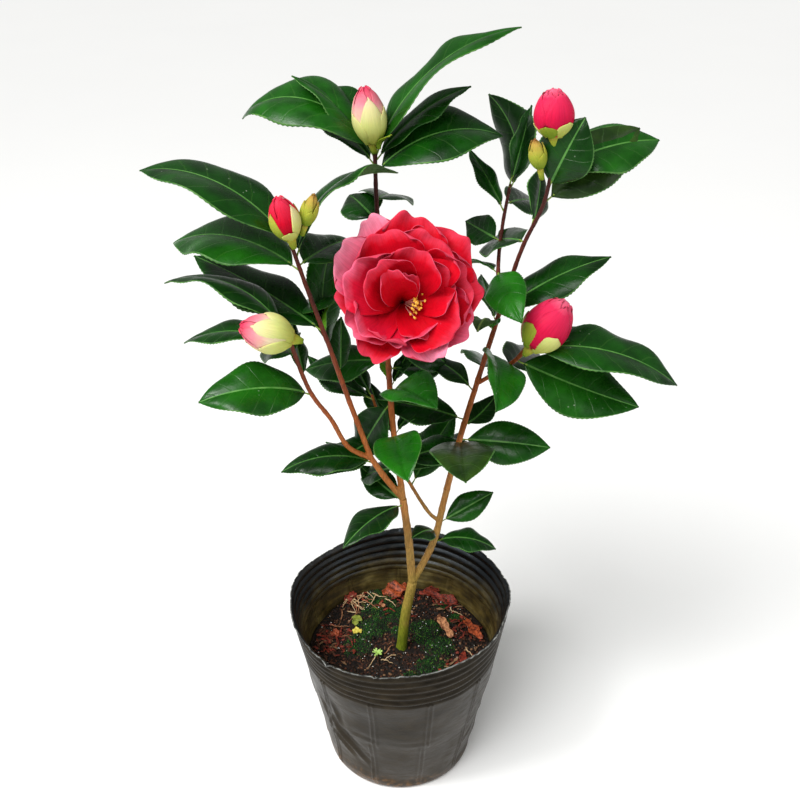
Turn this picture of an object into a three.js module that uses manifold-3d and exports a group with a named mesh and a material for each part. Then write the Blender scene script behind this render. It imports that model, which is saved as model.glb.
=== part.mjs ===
// A young camellia in a soft black nursery pot. Millimetres, +Z up.
// The origin is the centre of the pot's flat underside.
import * as THREE from 'three';
import { mergeVertices } from 'three/addons/utils/BufferGeometryUtils.js';
import Module from 'manifold-3d';

const wasm = await Module();
wasm.setup();

// Pot
const potHeight = 143;
const potRimRadius = 80;
const potFootRadius = 52;
const potCornerHeight = 5;
const potWall = 2.2;
const potSegments = 28;
const ridgeBandBottom = 108;
const ridgeCount = 5;
const ridgeDepth = 1.2;
const rimSway = 1.6;

// Potting mix
const mixTop = 91.7;
const mixRise = 4;
const trunkFlat = 12;

// Plant
const gap = 0.3;
const limbSides = 6;
const limbStep = 30;
const sleeveWall = 1.5;
const petioleLength = 6;
const leafThickness = 3.2;
const leafEdge = 1.4;
const leafStations = [0, 0.22, 0.5, 0.8, 1];
const lightwards = new THREE.Vector3(0, -0.7, 0.71).normalize();

// Limbs: waypoints from base to tip, and the radius at each end.
const limbs = {
  trunk: { path: [[1, 0, 92], [4, -1, 126], [9, 0, 157]], base: 4.3, tip: 3.6, flare: 1.4 },
  left_stem: { path: [[9, 0, 157], [6, -2, 198], [2, -4, 235]], base: 3.1, tip: 2.7 },
  right_bough: {
    path: [[9, 0, 157], [24, 6, 190], [31, 11, 223], [42, 17, 276], [50, 20, 308], [64, 22, 365]],
    base: 2.8, tip: 1.7,
  },
  leader: {
    path: [[2, -4, 235], [-5, 6, 291], [-10, 22, 379], [-14, 28, 429], [-15, 30, 469]],
    base: 2.4, tip: 1.4,
  },
  left_fork: { path: [[2, -4, 235], [-10, -6, 254], [-19, -8, 271]], base: 2.3, tip: 2.1 },
  left_bough: {
    path: [[-19, -8, 271], [-34, -16, 327], [-42, -22, 360], [-54, -31, 407], [-61, -36, 436]],
    base: 2, tip: 1.3,
  },
  low_left_bough: {
    path: [[-19, -8, 271], [-33, -16, 285], [-43, -25, 312], [-54, -34, 337], [-66, -50, 393]],
    base: 1.8, tip: 1.3,
  },
  right_inner_shoot: {
    path: [[64, 22, 365], [62, 30, 390], [64, 38, 415], [68, 42, 441]],
    base: 1.6, tip: 1.2,
  },
  right_outer_shoot: {
    path: [[64, 22, 365], [74, 10, 413], [83, -2, 445], [85, -8, 468]],
    base: 1.6, tip: 1.3,
  },
  right_side_shoot: { path: [[52, 19, 313], [73, 4, 338], [79, -4, 352]], base: 1.6, tip: 1.5 },
  crossing_twig: {
    path: [[27, 8, 207], [21, 11, 211], [7, 18, 232], [-7, 22, 259], [-19, 24, 301]],
    base: 1.5, tip: 1.1,
  },
  bloom_stalk: { path: [[-9, 17, 353], [-2, 2, 369], [3, -9, 383]], base: 1.6, tip: 1.7 },
};

// Buds: the base point, the way each points (compass and rise in degrees), length and radius.
const buds = {
  leader_bud: { from: [-16, 29, 471], compass: 180, rise: 82, length: 33, radius: 10 },
  left_red_bud: { from: [-60, -38, 438], compass: 200, rise: 76, length: 25, radius: 8.5 },
  left_green_bud: { from: [-52, -34, 444], compass: 340, rise: 70, length: 20, radius: 4.8 },
  low_left_bud: { from: [-61, -56, 385], compass: 190, rise: 20, length: 30, radius: 11 },
  right_round_bud: { from: [85, -8, 485], compass: 120, rise: 80, length: 26, radius: 11 },
  right_green_bud: { from: [78, -10, 468], compass: 200, rise: 75, length: 18, radius: 5 },
  right_side_bud: { from: [81, -6, 353], compass: 10, rise: 55, length: 37, radius: 14 },
};

const bloom = { from: [3.5, -15, 389], compass: 274, rise: 12, depth: 34, radius: 41, lobes: 7 };

// Foliage masses: the limb each one sits on, then its leaves. A leaf is
// [place along the limb 0 to 1, compass, rise, length, roll, droop, breadth to length].
const foliage = {
  leader_crown: ['leader', [
    [0.97, 10, 70, 112, -50, 65, 0.38],
    [0.98, 185, 45, 88, 35, 85, 0.46],
    [0.97, 165, 60, 62, 55, 40, 0.4],
    [0.98, 145, 60, 54, 15, 65, 0.5],
    [0.95, 135, 35, 50, 30, 35, 0.46],
    [0.96, 20, 50, 68, -40, 40, 0.34],
    [0.93, 355, 45, 80, -30, 80, 0.46],
  ]],
  leader_high: ['leader', [
    [0.8, 120, 15, 38, 0, 25, 0.7],
    [0.86, 80, -10, 74, 0, 20, 0.46],
  ]],
  leader_middle: ['leader', [
    [0.7, 40, -15, 75, 0, 20, 0.46],
    [0.62, 140, -10, 74, 0, 20, 0.46],
  ]],
  leader_low: ['leader', [
    [0.32, 290, 45, 58, -70, 55, 0.5],
    [0.34, 60, 35, 26, -40, 0, 0.5],
    [0.4, 40, -20, 44, -25, -15, 0.5],
    [0.45, 100, -15, 70, 0, 20, 0.46],
  ]],
  leader_foot: ['leader', [
    [0.2, 275, 20, 50, 25, 40, 0.5],
    [0.2, 115, 15, 42, 40, -15, 0.5],
  ]],
  left_tip: ['left_bough', [
    [0.98, 160, 50, 96, 45, 60, 0.42],
    [0.93, 75, 45, 94, -90, 75, 0.36],
    [0.88, 155, 25, 80, 35, 50, 0.5],
    [0.9, 65, 0, 64, 0, 20, 0.46],
  ]],
  left_upper: ['left_bough', [
    [0.62, 150, 25, 95, 30, 20, 0.4],
    [0.7, 100, -10, 70, 0, 20, 0.46],
  ]],
  left_middle: ['left_bough', [
    [0.53, 110, 35, 70, 60, -45, 0.46],
    [0.55, 130, 45, 36, -65, 100, 0.4],
    [0.41, 90, 35, 36, 50, 0, 0.5],
  ]],
  left_fork_leaves: ['left_fork', [
    [0.9, 195, 30, 60, 40, 70, 0.44],
    [0.98, 140, -5, 36, 50, 0, 0.46],
  ]],
  low_left_tip: ['low_left_bough', [
    [0.93, 145, 45, 84, 55, 75, 0.4],
    [0.86, 160, 15, 68, 45, 50, 0.4],
    [0.8, 115, -10, 60, 0, 20, 0.46],
  ]],
  low_left_middle: ['low_left_bough', [
    [0.56, 220, 35, 68, 20, 75, 0.5],
    [0.65, 105, 30, 42, 55, 0, 0.44],
  ]],
  left_stem_leaves: ['left_stem', [
    [0.94, 225, 15, 54, 50, 40, 0.5],
    [0.96, 135, 10, 36, 0, -20, 0.55],
  ]],
  crossing_tip: ['crossing_twig', [
    [0.97, 140, 0, 56, 35, -25, 0.4],
    [0.99, 115, 15, 34, 40, -15, 0.42],
  ]],
  crossing_middle: ['crossing_twig', [
    [0.3, 35, 55, 54, -25, 10, 0.5],
  ]],
  right_foot: ['right_bough', [
    [0.24, 10, 30, 38, -5, 5, 0.5],
    [0.17, 350, 25, 42, -40, 70, 0.5],
    [0.2, 240, 50, 26, 70, 65, 0.6],
  ]],
  right_middle: ['right_bough', [
    [0.55, 340, 10, 56, 0, 30, 0.52],
    [0.6, 55, -10, 34, -20, -50, 0.5],
    [0.54, 270, 25, 68, 0, 25, 0.56],
    [0.5, 110, -20, 65, 0, 20, 0.46],
  ]],
  right_upper: ['right_bough', [
    [0.86, 285, 10, 58, -80, 50, 0.5],
    [0.72, 140, 35, 40, 30, 50, 0.5],
    [0.8, 80, -15, 75, 0, 20, 0.46],
  ]],
  right_fork: ['right_bough', [
    [0.99, 5, 40, 74, -30, 35, 0.42],
    [0.96, 100, 20, 38, 50, 0, 0.5],
    [0.92, 240, 65, 34, -45, -90, 0.5],
  ]],
  inner_shoot_tip: ['right_inner_shoot', [
    [0.97, 65, 25, 64, -60, -90, 0.5],
    [0.78, 120, 40, 44, 35, 10, 0.4],
    [0.98, 65, 50, 48, 50, 0, 0.36],
    [0.85, 60, -10, 60, 0, 20, 0.46],
  ]],
  inner_shoot_foot: ['right_inner_shoot', [
    [0.55, 120, 0, 34, -25, 0, 0.6],
    [0.3, 115, 5, 30, 40, 40, 0.5],
    [0.3, 265, 15, 52, 40, 65, 0.48],
  ]],
  outer_shoot_tip: ['right_outer_shoot', [
    [0.98, 10, 25, 64, -15, 40, 0.56],
    [0.9, 65, 5, 64, -85, 90, 0.5],
    [0.9, 75, 50, 44, -50, 50, 0.66],
  ]],
  outer_shoot_middle: ['right_outer_shoot', [
    [0.6, 70, 40, 36, 50, 15, 0.6],
    [0.5, 110, -15, 65, 0, 20, 0.46],
  ]],
  side_shoot_leaves: ['right_side_shoot', [
    [0.95, 350, 15, 98, -35, 60, 0.42],
    [0.7, 355, -25, 78, -5, -20, 0.52],
    [0.97, 20, 20, 46, -35, 40, 0.4],
    [0.5, 60, -10, 65, 0, 20, 0.46],
  ]],
};

const colours = {
  pot: '#26282a', mix: '#2f2118', trunk: '#8b7f3c', limb: '#8a5a32',
  leaf: '#1e4a25', petal: '#d3183a', bud: '#c9c98a',
};

// A unit vector from a compass bearing (0 = +X, 90 = +Y) and a rise above the level.
function heading(compass, rise) {
  const turn = THREE.MathUtils.degToRad(compass);
  const lift = THREE.MathUtils.degToRad(rise);
  return new THREE.Vector3(
    Math.cos(lift) * Math.cos(turn), Math.cos(lift) * Math.sin(turn), Math.sin(lift));
}

// Strips a geometry to shared positions, so that it is one closed skin.
function weld(geometry) {
  geometry.deleteAttribute('normal');
  geometry.deleteAttribute('uv');
  return mergeVertices(geometry, 1e-5);
}

// A closed cylinder reshaped by place(t, x, y): t runs along it and x, y are on the unit circle.
function shapeCylinder(sides, steps, place) {
  const geometry = weld(new THREE.CylinderGeometry(1, 1, 1, sides, steps));
  const position = geometry.attributes.position;
  for (let i = 0; i < position.count; i += 1) {
    const point = place(position.getY(i) + 0.5, position.getX(i), -position.getZ(i));
    position.setXYZ(i, point.x, point.y, point.z);
  }
  return geometry;
}

function toSolid(geometry) {
  return new wasm.Manifold(new wasm.Mesh({
    numProp: 3,
    vertProperties: new Float32Array(geometry.attributes.position.array),
    triVerts: new Uint32Array(geometry.index.array),
  }));
}

function toGeometry(solid) {
  const mesh = solid.getMesh();
  const geometry = new THREE.BufferGeometry();
  geometry.setAttribute('position', new THREE.BufferAttribute(mesh.vertProperties, 3));
  geometry.setIndex(new THREE.BufferAttribute(mesh.triVerts, 1));
  geometry.computeVertexNormals();
  return geometry;
}

function boxesMeet(first, second) {
  const a = first.boundingBox();
  const b = second.boundingBox();
  return [0, 1, 2].every((k) => a.min[k] < b.max[k] && b.min[k] < a.max[k]);
}

// Cuts a solid back from its neighbours and keeps its largest piece.
function carve(solid, neighbours) {
  let left = solid;
  for (const neighbour of neighbours) {
    if (boxesMeet(left, neighbour)) left = left.subtract(neighbour);
  }
  return left.decompose().reduce((best, piece) => (piece.volume() > best.volume() ? piece : best));
}

// Limbs

function limbCurve(limb) {
  return new THREE.CatmullRomCurve3(limb.path.map((p) => new THREE.Vector3(...p)), false, 'centripetal');
}

function limbRadius(limb, t) {
  const flare = (limb.flare ?? 0) * Math.exp(-t * 9);
  return THREE.MathUtils.lerp(limb.base, limb.tip, t) + flare;
}

// A tapered tube along part of a limb's curve, its rings square to the curve.
function tube(limb, from, to, extra) {
  const curve = limbCurve(limb);
  const steps = Math.max(2, Math.round((curve.getLength() * (to - from)) / limbStep));
  const side = new THREE.Vector3(1, 0, 0);
  return shapeCylinder(limbSides, steps, (t, x, y) => {
    const along = THREE.MathUtils.clamp(from + (to - from) * t, 0, 1);
    const tangent = limb.flare && along === 0 ? new THREE.Vector3(0, 0, 1) : curve.getTangentAt(along);
    const across = side.clone().addScaledVector(tangent, -side.dot(tangent)).normalize();
    const other = new THREE.Vector3().crossVectors(tangent, across);
    const radius = limbRadius(limb, along) + extra;
    const reach = extra > 0 ? extra * (2 * t - 1) : 0;
    return curve.getPointAt(along)
      .addScaledVector(across, radius * x)
      .addScaledVector(other, radius * y)
      .addScaledVector(tangent, reach);
  });
}

// Leaves

// The leaf's midrib as an arc that droops away from the light, with its upper side's normal.
function leafArc([at, compass, rise, length, roll, droop], limb) {
  const out = heading(compass, rise);
  const level = lightwards.clone().addScaledVector(out, -lightwards.dot(out)).normalize();
  const lean = THREE.MathUtils.degToRad(roll);
  const upper = level.clone().multiplyScalar(Math.cos(lean))
    .addScaledVector(new THREE.Vector3().crossVectors(out, level), Math.sin(lean));
  const across = new THREE.Vector3().crossVectors(upper, out);
  const start = limbCurve(limb).getPointAt(at);
  const turn = THREE.MathUtils.degToRad(droop || 1);
  return (s) => {
    const angle = turn * s;
    const point = start.clone()
      .addScaledVector(out, petioleLength + (length / turn) * Math.sin(angle))
      .addScaledVector(upper, -(length / turn) * (1 - Math.cos(angle)));
    const normal = upper.clone().multiplyScalar(Math.cos(angle)).addScaledVector(out, Math.sin(angle));
    return { start, point, normal, across };
  };
}

function leafHalfWidth(length, breadth, s) {
  return (length * breadth / 2) * Math.sin(Math.PI * s ** 0.93) ** 0.85 * (1 - 0.12 * s);
}

// A blade's section has a flat upper side over a low keel; a cutter's is the box round that.
function sectionCorner(x, y, boxed) {
  if (boxed) return [Math.sign(Math.round(x - y)), Math.sign(Math.round(x + y))];
  return [Math.sign(Math.round(x)), y < 0 ? -1 : Math.sign(y)];
}

// A thin closed blade whose petiole starts inside the limb; extra grows it into a cutter.
function blade(leaf, limb, extra) {
  const arc = leafArc(leaf, limb);
  const length = leaf[3];
  const breadth = leaf[6];
  const boxed = extra > 0;
  const steps = leafStations.length;
  return shapeCylinder(boxed ? 4 : 3, steps, (t, x, y) => {
    const station = Math.round(t * steps) - 1;
    const s = station < 0 ? 0 : leafStations[station];
    const { start, point, normal, across } = arc(s);
    const edge = leafEdge / 2;
    const keel = edge + (leafThickness - leafEdge) * Math.sin(Math.PI * Math.min(1, s + 0.15));
    const half = Math.max(leafHalfWidth(length, breadth, s), edge) + extra;
    const [side, level] = sectionCorner(x, y, boxed);
    const centre = station < 0 ? start.clone() : point;
    return centre
      .addScaledVector(across, side * half)
      .addScaledVector(normal, level * ((level < 0 ? keel : edge) + extra));
  });
}

// A mass is a sleeve round its limb joined with every leaf that springs from it.
function massParts(limbName, leaves, extra) {
  const limb = limbs[limbName];
  const places = leaves.map((leaf) => leaf[0]);
  const margin = 3 / limbCurve(limb).getLength();
  const from = Math.max(0, Math.min(...places) - margin);
  const to = Math.min(1, Math.max(...places) + margin);
  return [
    tube(limb, from, to, sleeveWall + gap + extra),
    ...leaves.map((leaf) => blade(leaf, limb, extra)),
  ].map(toSolid);
}

// Bloom and buds

function budGeometry(bud, extra) {
  const axis = heading(bud.compass, bud.rise);
  const side = Math.abs(axis.z) > 0.9 ? new THREE.Vector3(1, 0, 0) : new THREE.Vector3(0, 0, 1);
  const across = side.addScaledVector(axis, -side.dot(axis)).normalize();
  const other = new THREE.Vector3().crossVectors(axis, across);
  const start = new THREE.Vector3(...bud.from);
  return shapeCylinder(7, 5, (t, x, y) => {
    const swell = Math.sin(Math.PI * (0.12 + 0.8 * t ** 0.8));
    const radius = bud.radius * swell + extra;
    return start.clone()
      .addScaledVector(axis, bud.length * t + extra * (2 * t - 1))
      .addScaledVector(across, radius * x)
      .addScaledVector(other, radius * y);
  });
}

// The open flower: a shallow cup of scalloped rings, folded inwards at its heart.
function bloomGeometry() {
  const axis = heading(bloom.compass, bloom.rise);
  const across = new THREE.Vector3(0, 0, 1).cross(axis).normalize();
  const other = new THREE.Vector3().crossVectors(axis, across);
  const start = new THREE.Vector3(...bloom.from);
  const rings = [[0.1, 0], [0.5, 0.1], [0.9, 0.38], [1, 0.56], [0.86, 0.8], [0.55, 0.98], [0.2, 0.9]];
  return shapeCylinder(18, rings.length - 1, (t, x, y) => {
    const [width, depth] = rings[Math.round(t * (rings.length - 1))];
    const angle = Math.atan2(y, x);
    const scallop = 1 + 0.05 * width * Math.cos(bloom.lobes * angle + 4 * depth);
    const radius = bloom.radius * width * scallop;
    return start.clone()
      .addScaledVector(axis, bloom.depth * depth)
      .addScaledVector(across, radius * x)
      .addScaledVector(other, radius * y);
  });
}

// Pot and potting mix

// Turns a profile of [radius, height] about +Z; sway moves each vertex after that.
function turn(profile, segments, sway) {
  const points = profile.map(([radius, height]) => new THREE.Vector2(radius, height));
  const geometry = weld(new THREE.LatheGeometry(points, segments).rotateX(Math.PI / 2));
  const position = geometry.attributes.position;
  for (let i = 0; i < position.count; i += 1) {
    const x = position.getX(i);
    const y = position.getY(i);
    const z = position.getZ(i);
    const moved = sway(Math.hypot(x, y), Math.atan2(y, x), z);
    position.setXYZ(i, moved.radius * Math.cos(moved.angle), moved.radius * Math.sin(moved.angle), moved.z);
  }
  return geometry;
}

// The outer wall's radius: a straight taper from the rounded foot to the rim.
function potRadius(z) {
  return THREE.MathUtils.mapLinear(z, potCornerHeight, potHeight, potFootRadius + 4, potRimRadius);
}

function potGeometry() {
  const pitch = (potHeight - ridgeBandBottom) / ridgeCount;
  const outer = [[0, 0], [potFootRadius, 0], [potFootRadius + 4, potCornerHeight]];
  outer.push([potRadius(ridgeBandBottom), ridgeBandBottom]);
  for (let i = 0; i < ridgeCount; i += 1) {
    const z = ridgeBandBottom + (i + 0.5) * pitch;
    outer.push([potRadius(z) - ridgeDepth, z], [potRadius(z + pitch / 2), z + pitch / 2]);
  }
  const profile = [
    ...outer,
    [potRimRadius - potWall, potHeight],
    [potRadius(ridgeBandBottom) - potWall, ridgeBandBottom],
    [potFootRadius + 4 - potWall, potCornerHeight],
    [potFootRadius - potWall, potWall],
    [0, potWall],
  ];
  return turn(profile, potSegments, (radius, angle, z) => {
    const share = THREE.MathUtils.smoothstep(z, ridgeBandBottom, potHeight);
    const sway = rimSway * (Math.sin(2 * angle + 0.6) + 0.5 * Math.sin(5 * angle));
    const dip = 0.8 * rimSway * Math.sin(3 * angle + 1.1);
    return { radius: radius + share * sway, angle, z: z + share * dip };
  });
}

// The mix fills the pot to a little mound round the trunk, flat where the trunk stands.
function mixGeometry() {
  const clear = potWall + gap;
  const top = potRadius(mixTop) - clear;
  const rings = [top, top * 0.75, top * 0.5, trunkFlat * 1.8, trunkFlat];
  const profile = [
    [0, potWall + gap],
    [potFootRadius - clear, potWall + gap],
    [potRadius(potCornerHeight) - clear, potCornerHeight + gap],
    ...rings.map((radius) => [radius, mixTop]),
    [0, mixTop],
  ];
  return turn(profile, potSegments, (radius, angle, z) => {
    const onTop = z > mixTop - 1 && radius > trunkFlat + 1 && radius < top - 1;
    const bumps = 0.5 * Math.sin(3 * angle + radius / 9) + 0.3 * Math.sin(7 * angle - radius / 5);
    return { radius, angle, z: onTop ? z - mixRise * (0.4 + 0.5 * bumps) : z };
  });
}

const plant = new THREE.Group();

function addPart(name, geometry, colour, roughness) {
  const material = new THREE.MeshStandardMaterial({ color: colour, roughness, metalness: 0 });
  const mesh = new THREE.Mesh(geometry, material);
  mesh.name = name;
  plant.add(mesh);
}

addPart('nursery_pot', potGeometry(), colours.pot, 0.5);
addPart('potting_mix', mixGeometry(), colours.mix, 1);

// Each piece is cut back from the ones before it, grown by the gap.
const grown = [];

for (const [name, limb] of Object.entries(limbs)) {
  const solid = carve(toSolid(tube(limb, 0, 1, 0)), grown);
  grown.push(toSolid(tube(limb, 0, 1, gap)));
  addPart(name, toGeometry(solid), name === 'trunk' ? colours.trunk : colours.limb, 0.7);
}

for (const [name, [limbName, leaves]] of Object.entries(foliage)) {
  const joined = massParts(limbName, leaves, 0).reduce((whole, piece) => whole.add(piece));
  const solid = carve(joined, grown);
  grown.push(...massParts(limbName, leaves, gap));
  addPart(`${name}_foliage`, toGeometry(solid), colours.leaf, 0.35);
}

for (const [name, bud] of Object.entries(buds)) {
  const solid = carve(toSolid(budGeometry(bud, 0)), grown);
  grown.push(toSolid(budGeometry(bud, gap)));
  addPart(name, toGeometry(solid), colours.bud, 0.5);
}

addPart('open_bloom', toGeometry(carve(toSolid(bloomGeometry()), grown)), colours.petal, 0.5);

export default plant;
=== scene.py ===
import math
import random
import bpy
import numpy as np
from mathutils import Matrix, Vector, noise


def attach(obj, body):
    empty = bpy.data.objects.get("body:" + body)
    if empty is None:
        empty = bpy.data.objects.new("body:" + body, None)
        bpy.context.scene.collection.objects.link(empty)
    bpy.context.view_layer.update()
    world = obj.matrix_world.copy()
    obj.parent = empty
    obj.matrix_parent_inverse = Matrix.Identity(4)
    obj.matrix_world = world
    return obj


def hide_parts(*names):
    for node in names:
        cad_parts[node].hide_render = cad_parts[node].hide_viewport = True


# A young camellia in a soft black nursery pot. The plant's sizes are in millimetres, the scene is in metres.
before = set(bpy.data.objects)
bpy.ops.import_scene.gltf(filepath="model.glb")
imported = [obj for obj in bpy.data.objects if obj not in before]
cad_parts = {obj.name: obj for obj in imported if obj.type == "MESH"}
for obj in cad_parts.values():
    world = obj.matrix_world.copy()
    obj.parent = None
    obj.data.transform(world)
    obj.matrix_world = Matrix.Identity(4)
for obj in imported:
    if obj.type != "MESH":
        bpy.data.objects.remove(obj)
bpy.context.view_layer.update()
mm = 0.001
print("frame loaded", len(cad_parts), "nodes")


# Colours and materials

def linear(hexColour):
    parts = [int(hexColour[i:i + 2], 16) / 255 for i in (1, 3, 5)]
    return [p / 12.92 if p <= 0.04045 else ((p + 0.055) / 1.055) ** 2.4 for p in parts] + [1]


def addNode(material, kind, inputs=None, stops=None, **settings):
    node = material.node_tree.nodes.new("ShaderNode" + kind)
    for name, value in settings.items():
        setattr(node, name, value)
    for place, (position, colour) in enumerate(stops or []):
        elements = node.color_ramp.elements
        element = elements[place] if place < 2 else elements.new(position)
        element.position = position
        element.color = linear(colour)
    for socket, value in (inputs or {}).items():
        if isinstance(value, bpy.types.NodeSocket):
            material.node_tree.links.new(value, node.inputs[socket])
        else:
            node.inputs[socket].default_value = value
    return node


# Starts a material: its shader's plain values go straight on the sockets
def startMaterial(name, roughness, specular, ior=1.45, **more):
    material = bpy.data.materials.new(name)
    material.use_nodes = True
    shader = material.node_tree.nodes["Principled BSDF"]
    plain = {"Roughness": roughness, "Specular IOR Level": specular, "IOR": ior}
    plain.update(more)
    for socket, value in plain.items():
        shader.inputs[socket].default_value = value
    place = addNode(material, "TexCoord").outputs["Object"]
    return material, shader, place


# Links the colour, the normal and, where it varies, the roughness into the shader
def dress(material, shader, colour, normal=None, roughness=None):
    for socket, output in (("Base Color", colour), ("Normal", normal), ("Roughness", roughness)):
        if output is not None:
            material.node_tree.links.new(output, shader.inputs[socket])
    return material


def calc(material, operation, *values):
    return addNode(material, "Math", dict(enumerate(values)), operation=operation).outputs[0]


# Turns the range low to high into first to last, and holds the ends
def remap(material, value, low, high, first, last, **settings):
    inputs = {0: value, 1: low, 2: high, 3: first, 4: last}
    return addNode(material, "MapRange", inputs, **settings).outputs[0]


def blend(material, share, first, second):
    return addNode(material, "Mix", {0: share, 6: first, 7: second}, data_type="RGBA").outputs[2]


def colourRamp(material, value, stops):
    return addNode(material, "ValToRGB", {0: value}, stops).outputs[0]


def darken(material, colour, share):
    return addNode(material, "VectorMath", {0: colour, 3: share}, operation="SCALE").outputs[0]


def stretch(material, place, scale):
    return addNode(material, "Mapping", {"Vector": place, "Scale": scale}).outputs[0]


def part(material, place, axis):
    return addNode(material, "SeparateXYZ", {"Vector": place}).outputs[axis]


# A noise whose features are about size millimetres across
def grain(material, place, size, detail, rough=0.55):
    return addNode(material, "TexNoise", {
        "Vector": place, "Scale": 1000 / size, "Detail": detail, "Roughness": rough}).outputs["Fac"]


# The distance to the nearest of many scattered spots, about size millimetres apart
def spots(material, place, size):
    return addNode(material, "TexVoronoi", {"Vector": place, "Scale": 1000 / size}).outputs["Distance"]


def bumpFrom(material, height, depth, strength, under=None):
    inputs = {"Height": height, "Distance": depth * mm, "Strength": strength}
    if under is not None:
        inputs["Normal"] = under
    return addNode(material, "Bump", inputs).outputs["Normal"]


# Meshes

def clearSelection():
    bpy.ops.object.select_all(action="DESELECT")


def makeActive(piece):
    clearSelection()
    piece.select_set(True)
    bpy.context.view_layer.objects.active = piece


def applyModifier(piece, kind, **settings):
    modifier = piece.modifiers.new(kind.title(), kind)
    for name, value in settings.items():
        setattr(modifier, name, value)
    bpy.ops.object.modifier_apply(modifier=modifier.name)


def meshPoints(mesh):
    points = np.zeros(len(mesh.vertices) * 3)
    mesh.vertices.foreach_get("co", points)
    return points.reshape(-1, 3)


# Selects only the points further out than a radius, ready for edit mode
def selectBeyond(piece, radius):
    for vertex in piece.data.vertices:
        vertex.select = math.hypot(vertex.co.x, vertex.co.y) > radius
    for item in (*piece.data.edges, *piece.data.polygons):
        item.select = False


# Gives a piece its body and hides the solids that it stands for
def settle(piece, nodes=()):
    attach(piece, "root")
    if nodes:
        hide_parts(*nodes)


# Collects thin closed shells and tubes, then joins them into one mesh
def newStack():
    return {"points": [], "faces": [], "kinds": [], "flow": [], "count": 0}


def stackMesh(stack, points, faces, kinds, flow):
    base = stack["count"]
    stack["points"].append(points)
    stack["faces"].extend([tuple(base + v for v in face) for face in faces])
    stack["kinds"].extend(kinds)
    stack["flow"].append(flow)
    stack["count"] += len(points)


def stackPiece(name, stack, materials):
    mesh = bpy.data.meshes.new(name)
    points = np.concatenate(stack["points"])
    mesh.from_pydata(points.tolist(), [], stack["faces"])
    for material in materials:
        mesh.materials.append(material)
    mesh.polygons.foreach_set("material_index", np.array(stack["kinds"], np.int32))
    mesh.polygons.foreach_set("use_smooth", np.ones(len(mesh.polygons), bool))
    corners = np.zeros(len(mesh.loops), np.int32)
    mesh.loops.foreach_get("vertex_index", corners)
    layer = mesh.uv_layers.new(name="flow")
    layer.data.foreach_set("uv", np.concatenate(stack["flow"])[corners].astype(np.float32).ravel())
    mesh.update()
    piece = bpy.data.objects.new(name, mesh)
    bpy.context.scene.collection.objects.link(piece)
    return piece


# A grid of points given a thickness: rows run along it, columns across, and row x column faces up
def addShell(stack, grid, thickness, upperKinds, underKinds, rimKind, flow=None):
    rows, columns = grid.shape[:2]
    along, across = np.gradient(grid, axis=0), np.gradient(grid, axis=1)
    normal = np.cross(along, across)
    normal /= np.maximum(np.linalg.norm(normal, axis=2, keepdims=True), 1e-12)
    under = grid - normal * np.broadcast_to(np.asarray(thickness), (rows, columns))[..., None]
    points = np.concatenate([grid.reshape(-1, 3), under.reshape(-1, 3)])
    if flow is None:
        v, u = np.meshgrid(np.linspace(0, 1, rows), np.linspace(0, 1, columns), indexing="ij")
        flow = np.stack([u, v], 2)
    half = rows * columns
    faces, kinds = [], []
    for i in range(rows - 1):
        for j in range(columns - 1):
            a, b = i * columns + j, (i + 1) * columns + j
            faces.append((a, b, b + 1, a + 1))
            kinds.append(upperKinds[j])
            faces.append((half + a, half + a + 1, half + b + 1, half + b))
            kinds.append(underKinds[j])
        a, b = i * columns, (i + 1) * columns
        faces.append((a, half + a, half + b, b))
        a, b = a + columns - 1, b + columns - 1
        faces.append((a, b, half + b, half + a))
        kinds += [rimKind, rimKind]
    last = (rows - 1) * columns
    for j in range(columns - 1):
        faces.append((j, j + 1, half + j + 1, half + j))
        faces.append((last + j, half + last + j, half + last + j + 1, last + j + 1))
        kinds += [rimKind, rimKind]
    stackMesh(stack, points, faces, kinds, np.concatenate([flow.reshape(-1, 2)] * 2))


# A closed round tube through a line of points
def addTube(stack, line, radii, sides, kind):
    line = np.asarray(line, float)
    ahead = np.gradient(line, axis=0)
    ahead /= np.linalg.norm(ahead, axis=1, keepdims=True)
    side = np.cross(ahead, np.array([0.31, 0.83, 0.46]))   # any direction that no tube follows
    side /= np.linalg.norm(side, axis=1, keepdims=True)
    other = np.cross(ahead, side)
    turn = np.linspace(0, 2 * math.pi, sides, endpoint=False)[None, :, None]
    ring = np.cos(turn) * side[:, None] + np.sin(turn) * other[:, None]
    points = (line[:, None] + ring * np.asarray(radii)[:, None, None]).reshape(-1, 3)
    count = len(line)
    faces = []
    for i in range(count - 1):
        for j in range(sides):
            a, b = i * sides + j, i * sides + (j + 1) % sides
            faces.append((a, b, b + sides, a + sides))
    faces.append(tuple(range(sides - 1, -1, -1)))
    faces.append(tuple(range((count - 1) * sides, count * sides)))
    flow = np.stack([np.tile(np.linspace(0, 1, sides), count),
                     np.repeat(np.linspace(0, 1, count), sides)], 1)
    stackMesh(stack, points, faces, [kind] * len(faces), flow)


# Directions: compass 0 is +X and 90 is +Y; rise is above the level
def heading(compass, rise):
    turn, lift = math.radians(compass), math.radians(rise)
    return np.array([math.cos(lift) * math.cos(turn), math.cos(lift) * math.sin(turn), math.sin(lift)])


def unit(vector):
    return vector / np.linalg.norm(vector)


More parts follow.
